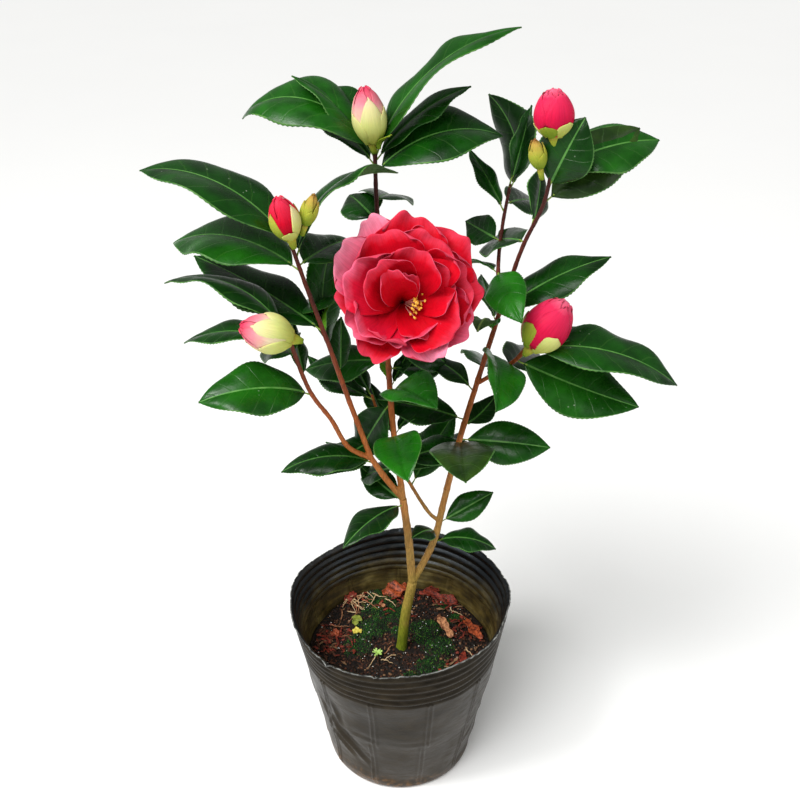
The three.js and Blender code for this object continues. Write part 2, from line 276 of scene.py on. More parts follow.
# Limbs: the radius at the base and at the tip, then waypoints from base to tip
limbs = {
    "trunk": [3.9, 3.5, [1, 0, 90], [4, -1, 126], [9, 0, 157]],
    "left_stem": [3.0, 2.6, [9, 0, 157], [6, -2, 198], [2, -4, 235]],
    "right_bough": [2.7, 1.6, [9, 0, 157], [24, 6, 190], [31, 11, 223], [42, 17, 276], [50, 20, 308],
                    [64, 22, 365]],
    "leader": [2.3, 1.3, [2, -4, 235], [-5, 6, 291], [-10, 22, 379], [-14, 28, 429], [-15, 30, 469]],
    "left_fork": [2.2, 2.0, [2, -4, 235], [-10, -6, 254], [-19, -8, 271]],
    "left_bough": [1.9, 1.2, [-19, -8, 271], [-34, -16, 327], [-42, -22, 360], [-54, -31, 407], [-61, -36, 436]],
    "low_left_bough": [1.7, 1.2, [-19, -8, 271], [-33, -16, 285], [-43, -25, 312], [-54, -34, 337],
                       [-66, -50, 393]],
    "right_inner_shoot": [1.5, 1.1, [64, 22, 365], [62, 30, 390], [64, 38, 415], [68, 42, 441]],
    "right_outer_shoot": [1.5, 1.2, [64, 22, 365], [74, 10, 413], [83, -2, 445], [85, -8, 468]],
    "right_side_shoot": [1.5, 1.5, [52, 19, 313], [73, 4, 338], [79, -4, 352]],
    "crossing_twig": [1.4, 1.0, [27, 8, 207], [21, 11, 211], [7, 18, 232], [-7, 22, 259], [-19, 24, 301]],
    "bloom_stalk": [1.5, 1.7, [-9, 17, 353], [-2, 2, 369], [3, -9, 383]],
}
greenLimbs = ["trunk", "left_stem"]


# An even run of points along a limb: a centripetal curve through its waypoints
def limbLine(limb, count):
    knots = np.array(limb[2:], float)
    knots = np.vstack([2 * knots[0] - knots[1], knots, 2 * knots[-1] - knots[-2]])
    fine = []
    for k in range(len(knots) - 3):
        p0, p1, p2, p3 = knots[k:k + 4]
        t1 = np.linalg.norm(p1 - p0) ** 0.5
        t2 = t1 + np.linalg.norm(p2 - p1) ** 0.5
        t3 = t2 + np.linalg.norm(p3 - p2) ** 0.5
        t = np.linspace(t1, t2, 40, endpoint=False)[:, None]
        a1 = p0 + (p1 - p0) * t / t1
        a2 = p1 + (p2 - p1) * (t - t1) / (t2 - t1)
        a3 = p2 + (p3 - p2) * (t - t2) / (t3 - t2)
        b1, b2 = a1 + (a2 - a1) * t / t2, a2 + (a3 - a2) * (t - t1) / (t3 - t1)
        fine.append(b1 + (b2 - b1) * (t - t1) / (t2 - t1))
    fine = np.vstack(fine + [knots[-2:-1]])
    run = np.r_[0, np.cumsum(np.linalg.norm(np.diff(fine, axis=0), axis=1))]
    even = np.linspace(0, run[-1], count)
    return np.stack([np.interp(even, run, fine[:, k]) for k in range(3)], 1) * mm, run[-1]


def limbPoint(limb, share):
    line = limbLine(limb, 201)[0]
    return np.array([np.interp(share * 200, range(201), line[:, k]) for k in range(3)])


bark = {
    "ringStep": 1.6, "nodeEvery": 17, "nodeSwell": 0.11, "trunkSwell": 0.0165, "trunkFlare": 0.6,
    "relief": 0.11, "reliefSize": 2.2, "voxel": 0.48, "poreSpacing": 3.4,
}


# Young camellia bark: green skin at the foot, tan on the stems and red-brown on this year's shoots.
# The dry cork scatters light softly, with pale pores and fine cracks along the stem
def barkMaterial(name):
    material, shader, place = startMaterial(name, 0.62, 0.35)
    height = part(material, place, "Z")
    wander = grain(material, place, 14, 3)
    drift = calc(material, "ADD", wander, -0.5)
    moved = calc(material, "MULTIPLY_ADD", drift, 0.075, height)
    level = remap(material, moved, 0.09, 0.46, 0, 1)
    tone = colourRamp(material, level, [
        (0.0, "#71831a"), (0.07, "#8d9328"), (0.14, "#ac9542"), (0.22, "#b8924e"), (0.36, "#b07c3e"),
        (0.45, "#bc7032"), (0.62, "#a04f20"), (0.75, "#6f2d1a"), (0.9, "#4a1912"), (1.0, "#421611")])
    streaks = stretch(material, place, (1.0, 1.0, 0.16))
    fine = grain(material, streaks, 0.9, 4)
    dark = remap(material, fine, 0.38, 0.62, 0.72, 1.12)
    shade = darken(material, tone, dark)
    pores = spots(material, place, bark["poreSpacing"])
    spot = remap(material, pores, 0.1, 0.2, 0.45, 0)
    mixed = blend(material, spot, shade, linear("#4b3a26"))
    cracked = bumpFrom(material, fine, 0.5, 0.7)
    return dress(material, shader, mixed, bumpFrom(material, spot, 0.3, 0.6, cracked))


# A limb is a curve with its own thickness at each point, turned into a mesh
def limbMesh(name):
    limb = limbs[name]
    count = max(8, int(limbLine(limb, 2)[1] / bark["ringStep"]))
    line, length = limbLine(limb, count)
    base, tip = limb[:2]
    flare, swell = (bark["trunkFlare"], bark["trunkSwell"]) if name == "trunk" else (0, bark["nodeSwell"])
    data = bpy.data.curves.new(name, "CURVE")
    data.dimensions = "3D"
    data.bevel_depth = mm
    data.bevel_resolution = 4
    data.use_fill_caps = True
    spline = data.splines.new("POLY")
    spline.points.add(count - 1)
    lag = random.Random(name).random()
    for i, point in enumerate(line):
        share = i / (count - 1)
        radius = base + (tip - base) * share + flare * math.exp(-share * 9)
        node = abs(((share * length / bark["nodeEvery"] + lag) % 1) - 0.5) * 2   # 1 at a leaf node
        radius *= 1 + swell * max(0, node - 0.72) / 0.28
        spline.points[i].co = (*point, 1)
        spline.points[i].radius = radius
    piece = bpy.data.objects.new(name + "_bark", data)
    bpy.context.scene.collection.objects.link(piece)
    makeActive(piece)
    bpy.ops.object.convert(target="MESH")
    return bpy.context.object


# Joins limbs, melts their forks together and raises the bark's relief, which runs along the stem
def barkPiece(name, nodes, material):
    limbPieces = [limbMesh(node) for node in nodes]
    clearSelection()
    for limbPiece in limbPieces:
        limbPiece.select_set(True)
    bpy.context.view_layer.objects.active = limbPieces[0]
    bpy.ops.object.join()
    piece = bpy.context.object
    piece.name = name
    applyModifier(piece, "REMESH", mode="VOXEL", voxel_size=bark["voxel"] * mm)
    applyModifier(piece, "SMOOTH", iterations=3)
    points = meshPoints(piece.data)
    normals = np.zeros(points.size)
    piece.data.vertex_normals.foreach_get("vector", normals)
    lift = [noise.noise((x, y, z * 0.3)) + 0.5 * noise.noise((x * 2.3, y * 2.3, z))
            for x, y, z in points / (bark["reliefSize"] * mm)]
    points += normals.reshape(-1, 3) * (np.array(lift) * bark["relief"] * mm)[:, None]
    piece.data.vertices.foreach_set("co", points.ravel())
    piece.data.materials.clear()
    piece.data.materials.append(material)
    bpy.ops.object.shade_smooth()
    settle(piece, nodes)


print("limbs")
barkSkin = barkMaterial("young_bark")
barkPiece("green_stems", greenLimbs, barkSkin)
barkPiece("brown_boughs", [name for name in limbs if name not in greenLimbs], barkSkin)


leafLook = {
    "petiole": 6, "petioleRadius": 0.72, "stations": 56, "smallStations": 30, "smallLength": 40, "broaden": 1.1,
    "fold": 0.2, "recurve": 0.26, "wave": 0.028, "twist": 9, "tooth": 0.4, "veins": 7, "puff": 0.2,
    "thickness": 0.5, "rimThickness": 0.28, "ribHalf": 0.75, "ribUnder": 0.75, "ribDip": 0.28, "tipHalf": 0.22,
    "steps": [0.12, 0.27, 0.45, 0.64, 0.82, 0.965, 1],
}
# Each mass has its limb and its leaves. A leaf's row is: place along the limb 0 to 1, compass, rise, length, roll,
# droop, breadth to length and, where they aren't left to chance, its tone and its fold
foliage = {
    "leader_crown": ["leader", [
        [0.97, 10, 70, 112, -60, 65, 0.31], [0.98, 185, 58, 98, 35, 112, 0.46], [0.97, 165, 60, 62, 55, 40, 0.4],
        [0.98, 145, 60, 54, 15, 65, 0.5], [0.95, 135, 35, 50, 30, 35, 0.46], [0.96, 20, 50, 68, -40, 40, 0.34],
        [0.93, 355, 47, 82, -30, 80, 0.57]]],
    "leader_high": ["leader", [[0.8, 120, 15, 38, 0, 25, 0.7], [0.86, 80, -10, 74, 0, 20, 0.46]]],
    "leader_middle": ["leader", [[0.7, 40, -15, 75, 0, 20, 0.46], [0.62, 140, -10, 74, 0, 20, 0.46]]],
    "leader_low": ["leader", [
        [0.32, 290, 45, 58, -60, 60, 0.54, "fresh", 0.55], [0.34, 60, 35, 26, -40, 0, 0.5],
        [0.4, 40, -20, 44, -25, -15, 0.5], [0.45, 100, -15, 70, 0, 20, 0.46],
        [0.34, 100, 35, 24, 40, 15, 0.4, "young"], [0.3, 182, -58, 46, 15, 20, 0.62, "dark"],
        [0.5, 20, -30, 56, -10, 25, 0.5, "dark"], [0.42, 165, -5, 58, 20, 30, 0.5]]],
    "leader_foot": ["leader", [
        [0.2, 275, 20, 50, 5, 45, 0.6, "fresh", 0.6], [0.2, 115, 15, 42, 40, -15, 0.5],
        [0.2, 55, 25, 30, -40, 20, 0.5], [0.12, 20, 10, 50, -25, 25, 0.5, "dark"],
        [0.1, 150, -25, 36, 20, 30, 0.5, "dark"]]],
    "left_tip": ["left_bough", [
        [0.98, 160, 50, 98, 45, 66, 0.47], [0.93, 75, 45, 94, -55, 75, 0.38, "dark", 0.4],
        [0.88, 155, 28, 88, 35, 60, 0.58], [0.9, 65, 0, 64, 0, 20, 0.46]]],
    "left_upper": ["left_bough", [[0.62, 150, 25, 95, 30, 20, 0.4], [0.7, 100, -10, 70, 0, 20, 0.46]]],
    "left_middle": ["left_bough", [
        [0.53, 110, 35, 70, 60, -45, 0.46], [0.55, 130, 45, 36, -65, 100, 0.4, "young"],
        [0.41, 90, 35, 36, 50, 0, 0.5]]],
    "left_fork_leaves": ["left_fork", [
        [0.9, 195, 30, 60, 40, 70, 0.44], [0.98, 140, -5, 36, 50, 0, 0.46, "fresh"]]],
    "low_left_tip": ["low_left_bough", [
        [0.93, 145, 45, 84, 55, 75, 0.4], [0.86, 160, 15, 68, 45, 50, 0.4], [0.8, 115, -10, 60, 0, 20, 0.46]]],
    "low_left_middle": ["low_left_bough", [[0.56, 220, 35, 68, 20, 75, 0.5], [0.65, 105, 30, 42, 55, 0, 0.44]]],
    "left_stem_leaves": ["left_stem", [[0.94, 225, 15, 54, 50, 40, 0.5], [0.96, 135, 10, 36, 0, -20, 0.55]]],
    "crossing_tip": ["crossing_twig", [[0.97, 140, 0, 56, 35, -25, 0.4], [0.99, 115, 15, 34, 40, -15, 0.42]]],
    "crossing_middle": ["crossing_twig", [
        [0.3, 35, 55, 54, -25, 10, 0.5], [0.5, 20, 10, 52, -10, 30, 0.55, "dark"],
        [0.7, 220, 0, 50, 25, 25, 0.5, "dark"]]],
    "right_foot": ["right_bough", [
        [0.24, 10, 30, 38, -5, 5, 0.5], [0.17, 350, 25, 42, -40, 70, 0.5], [0.2, 240, 50, 26, 70, 65, 0.6]]],
    "right_middle": ["right_bough", [
        [0.55, 340, 10, 56, 0, 30, 0.52], [0.6, 55, -10, 34, -20, -50, 0.5],
        [0.54, 270, 25, 68, 0, 25, 0.6, "olive", 0.45], [0.5, 110, -20, 65, 0, 20, 0.46],
        [0.62, 175, 20, 56, 25, 25, 0.5, "dark"], [0.45, 150, 10, 50, 20, 35, 0.55]]],
    "right_upper": ["right_bough", [
        [0.86, 285, 10, 58, -55, 50, 0.56, "fresh", 0.6], [0.72, 140, 35, 40, 30, 50, 0.5],
        [0.8, 80, -15, 75, 0, 20, 0.46]]],
    "right_fork": ["right_bough", [
        [0.99, 5, 40, 74, -30, 35, 0.42], [0.96, 100, 20, 38, 50, 0, 0.5],
        [0.92, 240, 65, 34, -45, -90, 0.5, "fresh"]]],
    "inner_shoot_tip": ["right_inner_shoot", [
        [0.97, 65, 25, 64, -60, -90, 0.5], [0.78, 120, 40, 44, 35, 10, 0.4], [0.98, 65, 50, 48, 50, 0, 0.36],
        [0.85, 60, -10, 60, 0, 20, 0.46]]],
    "inner_shoot_foot": ["right_inner_shoot", [
        [0.55, 120, 0, 34, -25, 0, 0.6], [0.3, 115, 5, 30, 40, 40, 0.5], [0.3, 265, 15, 52, 40, 65, 0.48, "fresh"],
        [0.5, 65, 5, 22, 0, -5, 0.6]]],
    "outer_shoot_tip": ["right_outer_shoot", [
        [0.98, 10, 25, 64, -15, 40, 0.56], [0.78, 345, 46, 66, 14, 60, 0.48, "olive", 0.3],
        [0.86, 296, 62, 42, 0, 40, 0.74, "dark"]]],
    "outer_shoot_middle": ["right_outer_shoot", [
        [0.6, 70, 40, 36, 50, 15, 0.6], [0.5, 110, -15, 65, 0, 20, 0.46]]],
    "side_shoot_leaves": ["right_side_shoot", [
        [0.95, 350, 15, 98, -35, 60, 0.42], [0.7, 355, -25, 78, -5, -20, 0.52], [0.97, 20, 20, 46, -35, 40, 0.4],
        [0.5, 60, -10, 65, 0, 20, 0.46]]],
}
lightwards = unit(np.array([0, -0.7, 0.71]))   # a leaf turns its upper side this way
skins = {"dark": 0, "green": 1, "shaded": 2, "midrib": 3, "rim": 4, "underside": 5, "ribBelow": 6, "fresh": 7,
         "young": 8, "olive": 9}


# The leaf's frame along its midrib: a drooping arc, with the upper side's normal and the way across
def leafArc(limb, row, s):
    place, compass, rise, length, roll, droop = row[:6]
    out = heading(compass, rise)
    level = unit(lightwards - lightwards.dot(out) * out)
    lean = math.radians(roll)
    upper = math.cos(lean) * level + math.sin(lean) * np.cross(out, level)
    across = np.cross(upper, out)
    turn = math.radians(droop or 1)
    start = limbPoint(limb, place)
    reach, drop = length / turn * np.sin(turn * s), length / turn * (1 - np.cos(turn * s))
    middle = start + (out[None] * (leafLook["petiole"] + reach)[:, None] - upper[None] * drop[:, None]) * mm
    normal = upper[None] * np.cos(turn * s)[:, None] + out[None] * np.sin(turn * s)[:, None]
    return start, out, middle, normal, across


def addLeaf(stack, stalks, limb, row, chance, tone):
    look = leafLook
    length, breadth = row[3], row[6] * look["broaden"]
    small = length < look["smallLength"]
    count = look["smallStations"] if small else look["stations"]
    s = np.linspace(0, 1, count)
    start, out, middle, normal, across = leafArc(limb, row, s)
    # the outline: broadest past the middle, then drawn out to a point
    half = length * breadth / 2 * np.sin(np.pi * s ** 0.93) ** 0.85 * (1 - 0.12 * s)
    half = np.maximum(half, np.where(s < 0.5, look["ribHalf"], look["tipHalf"]))
    rib = np.minimum(0.5 * half, look["ribHalf"] - 0.45 * s)
    offsets = np.stack([rib] + [rib + (half - rib) * step for step in look["steps"]], 1)
    tooth = look["tooth"] * (np.arange(count) % 2)
    offsets[:, -1] += tooth * np.clip(4 * s * (1.03 - s), 0, 1) * (0.6 if small else 1)
    lateral = np.concatenate([-offsets[:, ::-1], offsets], 1)
    centre, strips = len(look["steps"]), lateral.shape[1] - 1
    ribColumns = slice(centre, centre + 2)
    # the blade's lift: folded up from the rib, rolled back and waved at its edges, puffed between the veins
    u = lateral / half[:, None]
    size = np.abs(u)
    fold = row[8] if len(row) > 8 else look["fold"] * chance.uniform(0.6, 1.4)
    recurve = look["recurve"] * chance.uniform(0.6, 1.4)
    lift = half[:, None] * (fold * size - recurve * size ** 3)
    for sign in (-1, 1):
        phase, waves = chance.uniform(0, 6.3), chance.uniform(1.2, 2.4)
        swing = np.sin(2 * math.pi * waves * s[:, None] + phase)
        lift += (np.sign(u) == sign) * length * look["wave"] * size ** 2 * swing * np.sin(np.pi * s)[:, None]
    vein = (s[:, None] * look["veins"] - size * 1.15) % 1
    lift += look["puff"] * np.sin(np.pi * vein) ** 0.8 * np.clip(size * (1.05 - size) * 4, 0, 1)
    lift[:, ribColumns] -= look["ribDip"]
    twist = math.radians(chance.uniform(-look["twist"], look["twist"])) * s ** 2
    sideways = np.cos(twist)[:, None] * across[None] + np.sin(twist)[:, None] * normal
    upright = np.cos(twist)[:, None] * normal - np.sin(twist)[:, None] * across[None]
    shape = sideways[:, None] * lateral[..., None] + upright[:, None] * lift[..., None]
    grid = middle[:, None] + shape * mm
    thick = np.full(lateral.shape, look["thickness"])
    thick[:, [0, -1]] = look["rimThickness"]
    thick[:, ribColumns] = (look["thickness"] + look["ribUnder"] * (1 - 0.75 * s))[:, None]
    upper, under = [tone] * strips, [skins["underside"]] * strips
    upper[centre] = skins["midrib"] if tone < skins["midrib"] else tone
    upper[0] = upper[-1] = skins["rim"]
    under[centre] = skins["ribBelow"]
    flow = np.stack([0.5 + 0.5 * np.clip(u, -1.05, 1.05) * 0.95, np.broadcast_to(s[:, None], u.shape)], 2)
    addShell(stack, grid, thick * mm, upper, under, skins["rim"], flow)
    # the stalk starts inside the limb and runs a little way under the rib
    inner = start - out * 0.6 * mm
    root = middle[0] - normal[0] * 0.35 * mm
    run = np.linspace(0, 1, 9)[:, None]
    sag = np.sin(np.pi * run) * 0.5 * mm
    thickness = look["petioleRadius"] * (0.75 if small else 1)
    line = inner + (root + (middle[2] - middle[0]) * 0.8 - inner) * run - normal[0] * sag
    radii = thickness * (1.35 - 0.5 * np.sin(np.pi * run[:, 0]) - 0.35 * run[:, 0])
    addTube(stalks, line, radii * mm, 10, 0)


# The leathery leaf's upper skin: a waxy layer over dark green, so the highlights are sharp but broken by the
# side veins. A few specks of dust sit on it
def leafSkin(name, deep, bright, roughness=0.3):
    wax = {"Coat Weight": 0.05, "Coat Roughness": 0.14}
    material, shader, place = startMaterial(name, roughness, 0.22, 1.45, **wax)
    flow = addNode(material, "UVMap", uv_map="flow").outputs[0]
    parts = addNode(material, "SeparateXYZ", {"Vector": flow})
    fromRib = calc(material, "SUBTRACT", parts.outputs["X"], 0.5)
    fromRib = calc(material, "ABSOLUTE", fromRib)
    wander = grain(material, place, 9, 2)
    bend = calc(material, "MULTIPLY", wander, 0.35)
    rows = calc(material, "MULTIPLY_ADD", parts.outputs["Y"], leafLook["veins"], bend)
    slant = calc(material, "MULTIPLY_ADD", fromRib, -2.3, rows)
    saw = calc(material, "PINGPONG", slant, 0.5)
    line = remap(material, saw, 0.0, 0.06, 1, 0, interpolation_type="SMOOTHSTEP")
    blotch = grain(material, place, 18, 3)
    spread = remap(material, blotch, 0.35, 0.68, 0, 1)
    body = blend(material, spread, linear(deep), linear(bright))
    faint = calc(material, "MULTIPLY", line, 0.13)
    veined = blend(material, faint, body, linear("#4a7a2c"))
    specks = spots(material, place, 5.5)
    patch = grain(material, place, 26, 2)
    near = remap(material, specks, 0.05, 0.11, 1, 0)
    where = remap(material, patch, 0.56, 0.64, 0, 0.5)
    dust = calc(material, "MULTIPLY", near, where)
    final = blend(material, dust, veined, linear("#b9c4b0"))
    gloss = remap(material, grain(material, place, 3, 4), 0.3, 0.7, roughness - 0.07, roughness + 0.1)
    pebble = bumpFrom(material, grain(material, place, 1.3, 2), 0.22, 0.35)
    dips = calc(material, "MULTIPLY", line, -1.0)
    return dress(material, shader, final, bumpFrom(material, dips, 0.3, 0.45, pebble), gloss)


# A plain dull skin mottled in two colours, for whatever has no wax or gloss: a leaf's ribs, rim and underside,
# stamens, moss, bark and roots
def mottledSkin(name, colour, second, roughness, size):
    material, shader, place = startMaterial(name, roughness, 0.4)
    mottle = grain(material, place, size, 4, 0.65)
    tone = colourRamp(material, mottle, [(0.36, colour), (0.64, second)])
    return dress(material, shader, tone, bumpFrom(material, grain(material, place, size / 6, 3), 0.2, 0.4))


print("leaves")
leafSkins = [
    leafSkin("waxy_leaf_dark", "#062a04", "#104508"),
    leafSkin("waxy_leaf_green", "#0b3a05", "#1a580e"),
    leafSkin("waxy_leaf_shaded", "#072307", "#11380c", 0.34),
    mottledSkin("leaf_midrib", "#3f7a2c", "#5c9144", 0.5, 6),
    mottledSkin("leaf_rim", "#1f5218", "#548438", 0.5, 8),
    mottledSkin("leaf_underside", "#35561f", "#4b6b34", 0.62, 10),
    mottledSkin("leaf_rib_below", "#7a9a4c", "#8aa75c", 0.55, 6),
    leafSkin("waxy_leaf_fresh", "#115008", "#237014", 0.3),
    leafSkin("waxy_leaf_young", "#4c8a14", "#6da326", 0.36),
    leafSkin("waxy_leaf_olive", "#18300c", "#2f4a16", 0.36),
]
stalks = newStack()
for massName, (limbName, rows) in foliage.items():
    chance = random.Random(massName)
    stack = newStack()
    for row in rows:
        tone = skins[row[7]] if len(row) > 7 else chance.choices([0, 1, 2], [5, 4, 2])[0]
        addLeaf(stack, stalks, limbs[limbName], row, chance, tone)
    settle(stackPiece(massName + "_leaves", stack, leafSkins), [massName + "_foliage"])
stalkSkin = mottledSkin("leaf_stalk_skin", "#6f8f2e", "#8fa843", 0.5, 5)
settle(stackPiece("leaf_stalks", stalks, [stalkSkin]))


# Buds: the base point, compass, rise, length, radius and what shows
buds = {
    "leader_bud": [[-16, 29, 471], 180, 82, 33, 10, "pale"],
    "left_red_bud": [[-60, -38, 438], 200, 76, 25, 8.5, "cupped"],
    "left_green_bud": [[-52, -34, 444], 340, 70, 20, 4.8, "tight"],
    "low_left_bud": [[-61, -56, 385], 190, 20, 30, 11, "pale"],
    "right_round_bud": [[85, -8, 485], 120, 80, 26, 11, "open"],
    "right_green_bud": [[78, -10, 468], 200, 75, 18, 5, "tight"],
    "right_side_bud": [[81, -6, 353], 10, 55, 37, 14, "open"],
}
scale = {"thickness": 0.45, "rows": 16, "columns": 13, "flare": 0.02}


def budAxes(bud):
    axis = heading(bud[1], bud[2])
    side = np.array([1.0, 0, 0]) if abs(axis[2]) > 0.9 else np.array([0, 0, 1.0])
    across = unit(side - side.dot(axis) * axis)
    return np.array(bud[0], float) * mm, axis, across, np.cross(axis, across)


# How wide a bud is along its length: full below the middle, drawn in to a blunt tip
def budSwell(t):
    t = np.clip(t, 0, 1)
    tip = np.sqrt(1 - np.clip((t - 0.78) / 0.23, 0, 1) ** 2.4)
    return np.sin(np.pi * (0.13 + 0.78 * t ** 0.85)) ** 0.9 * tip


# One overlapping scale or petal wrapped round the bud, from low to high along it
def addScale(stack, bud, angle, spread, low, high, lift, kind, chance, point=0.0, curl=0.0):
    start, axis, across, other = budAxes(bud)
    length, girth = bud[3:5]
    s, v = np.meshgrid(np.linspace(0, 1, scale["rows"]), np.linspace(-1, 1, scale["columns"]), indexing="ij")
    outline = np.clip(1.04 - s ** 3.2, 0.02, 1) ** 0.5 * (0.55 + 0.45 * np.clip(s * 3, 0, 1)) * (1 - point * s)
    t = low + (high - low) * s * (1 - 0.06 * v ** 2 * s)
    turn = angle + spread * outline * v
    radius = girth * budSwell(t) + lift * (0.4 + 0.6 * s) - 0.5 * np.abs(v) ** 2 * lift + curl * s ** 4
    radius = radius * (1 + scale["flare"] * np.sin(4 * turn + chance.uniform(0, 6)))
    radius = np.maximum(radius, 0.25)
    shape = (axis * (length * t)[..., None] + across * (radius * np.cos(turn))[..., None]
             + other * (radius * np.sin(turn))[..., None])
    grid = start + shape * mm
    flow = np.stack([0.5 + 0.5 * v, t], 2)
    kinds = [kind] * (scale["columns"] - 1)
    addShell(stack, grid[:, ::-1], scale["thickness"] * mm, kinds, kinds, kind, flow[:, ::-1])


# Petal and sepal skins. Petals are thin, moist and softly velvety: no mirror gloss, and light bleeds a
# little through them. Colour runs from the base to the tip on the piece's own map
def petalSkin(name, stops, roughness, streak, bleed=0.12):
    glow = {"Subsurface Weight": bleed, "Subsurface Radius": (1.0, 0.35, 0.25), "Subsurface Scale": 1.5 * mm}
    material, shader, place = startMaterial(name, roughness, 0.05, 1.4, **glow)
    flow = addNode(material, "UVMap", uv_map="flow").outputs[0]
    parts = addNode(material, "SeparateXYZ", {"Vector": flow})
    wander = grain(material, place, 7, 3)
    level = calc(material, "MULTIPLY_ADD", wander, 0.22, parts.outputs["Y"])
    level = calc(material, "SUBTRACT", level, 0.11)
    tone = colourRamp(material, level, stops)
    lines = stretch(material, flow, (46, 3.0, 1.0))
    veins = addNode(material, "TexNoise", {"Vector": lines, "Scale": 1.0, "Detail": 3}).outputs["Fac"]
    dark = remap(material, veins, 0.35, 0.65, 1 - streak, 1 + streak * 0.4)
    shade = darken(material, tone, dark)
    return dress(material, shader, shade, bumpFrom(material, veins, 0.2, 0.22))


print("buds")
budSkins = [petalSkin(*row) for row in (
    ("sepal_pale_green", [(0, "#a9b04a"), (0.35, "#cdd07c"), (0.7, "#dccf9c"), (1, "#e3b9a6")], 0.45, 0.1),
    ("sepal_pink_tip", [(0, "#cfcf86"), (0.45, "#e3c9a6"), (0.72, "#e08a95"), (1, "#d13a5a")], 0.45, 0.12),
    ("bud_petal_rose", [(0, "#b8123a"), (0.4, "#cc1a42"), (0.8, "#d62c54"), (1, "#e66c88")], 0.42, 0.12),
    ("bud_petal_red", [(0, "#a00a20"), (0.5, "#c40c28"), (1, "#dc3450")], 0.42, 0.2),
    ("sepal_olive", [(0, "#6f8a24"), (0.5, "#a3a83c"), (0.85, "#b89a4a"), (1, "#8c5a2e")], 0.5, 0.15),
)]
pale, blush, rose, red, olive = range(5)
greens = [pale, olive]
hearts = {"pale": blush, "cupped": red, "tight": olive, "open": rose}
viewSide = np.array([0, -0.85, 0.5])   # towards the viewer
for budName, bud in buds.items():
    chance = random.Random(budName)
    stack = newStack()
    start, axis, across, other = budAxes(bud)
    length, girth, show = bud[3:]
    # angles are counted from the side that faces the viewer
    toCamera = unit(viewSide - axis * axis.dot(viewSide))
    front = math.atan2(toCamera.dot(other), toCamera.dot(across))
    # the closed heart inside the wrapped scales
    t = np.linspace(0.0, 0.97, 18)
    addTube(stack, start + axis * (length * t * mm)[:, None],
            np.maximum(girth * budSwell(t) - 0.9, 0.15) * mm, 28, hearts[show])
    if show == "open":
        rings = [(0.2, 1.0, 1.0, -0.5), (0.12, 0.985, 1.15, 0.1), (0.05, 0.95, 1.25, 0.6)]
        for ring, (low, high, spread, lift) in enumerate(rings):
            for k in range(3):
                angle = front + 0.9 + ring * 0.75 + k * 2 * math.pi / 3 + chance.uniform(-0.2, 0.2)
                reach = high - chance.uniform(0, 0.06)
                addScale(stack, bud, angle, spread, low, reach, lift, rose, chance, 0.25)
        tall = 0.45 if budName == "right_side_bud" else 0.3
        for k in range(5):
            angle = front + 1.9 + k * 2 * math.pi / 5
            addScale(stack, bud, angle, 0.72, -0.02, tall - 0.05 * (k % 2), 1.1, greens[k % 2], chance)
    elif show == "cupped":
        for k in range(4):
            addScale(stack, bud, front + 0.3 + k * 1.6, 0.95, 0.1, 0.99, 0.0, red, chance, 0.3)
        for k, (turn, tall) in enumerate([(0.95, 0.8), (-1.0, 0.72), (3.1, 0.85), (2.0, 0.7), (-2.2, 0.7)]):
            addScale(stack, bud, front + turn, 0.72, -0.02, tall, 0.9, greens[k % 2], chance, 0.35)
        addScale(stack, bud, front + 0.05, 0.8, -0.02, 0.24, 1.0, pale, chance)
    elif show == "tight":
        for k in range(6):
            high, lift = 0.55 + 0.09 * k, 0.75 - 0.13 * k
            addScale(stack, bud, front + 0.4 + k * 2.4, 1.0, 0.0, high, lift, olive, chance, 0.4)
    else:
        for k in range(4):
            addScale(stack, bud, front + 1.1 + k * 1.57, 1.0, 0.15, 0.99, 0.0, blush, chance, 0.3)
        sepals = [(0.15, 0.84), (2.3, 0.86), (-2.1, 0.82), (1.2, 0.62), (-1.1, 0.58), (3.3, 0.5)]
        for k, (turn, tall) in enumerate(sepals):
            addScale(stack, bud, front + turn, 0.95, -0.02, tall, 0.55 + 0.1 * k, pale, chance, 0.35)
        if budName == "leader_bud":   # one loose sepal curls away at its foot
            addScale(stack, bud, front + 0.8, 0.5, -0.12, 0.16, 2.5, olive, chance, 0.1, 5.0)
    # the short stalk under the bud
    stem = np.linspace(-7, 2.5, 8)
    addTube(stack, start + axis * (stem * mm)[:, None], np.linspace(1.5, girth * 0.42, 8) * mm, 12, olive)
    settle(stackPiece(budName + "_scales", stack, budSkins), [budName])
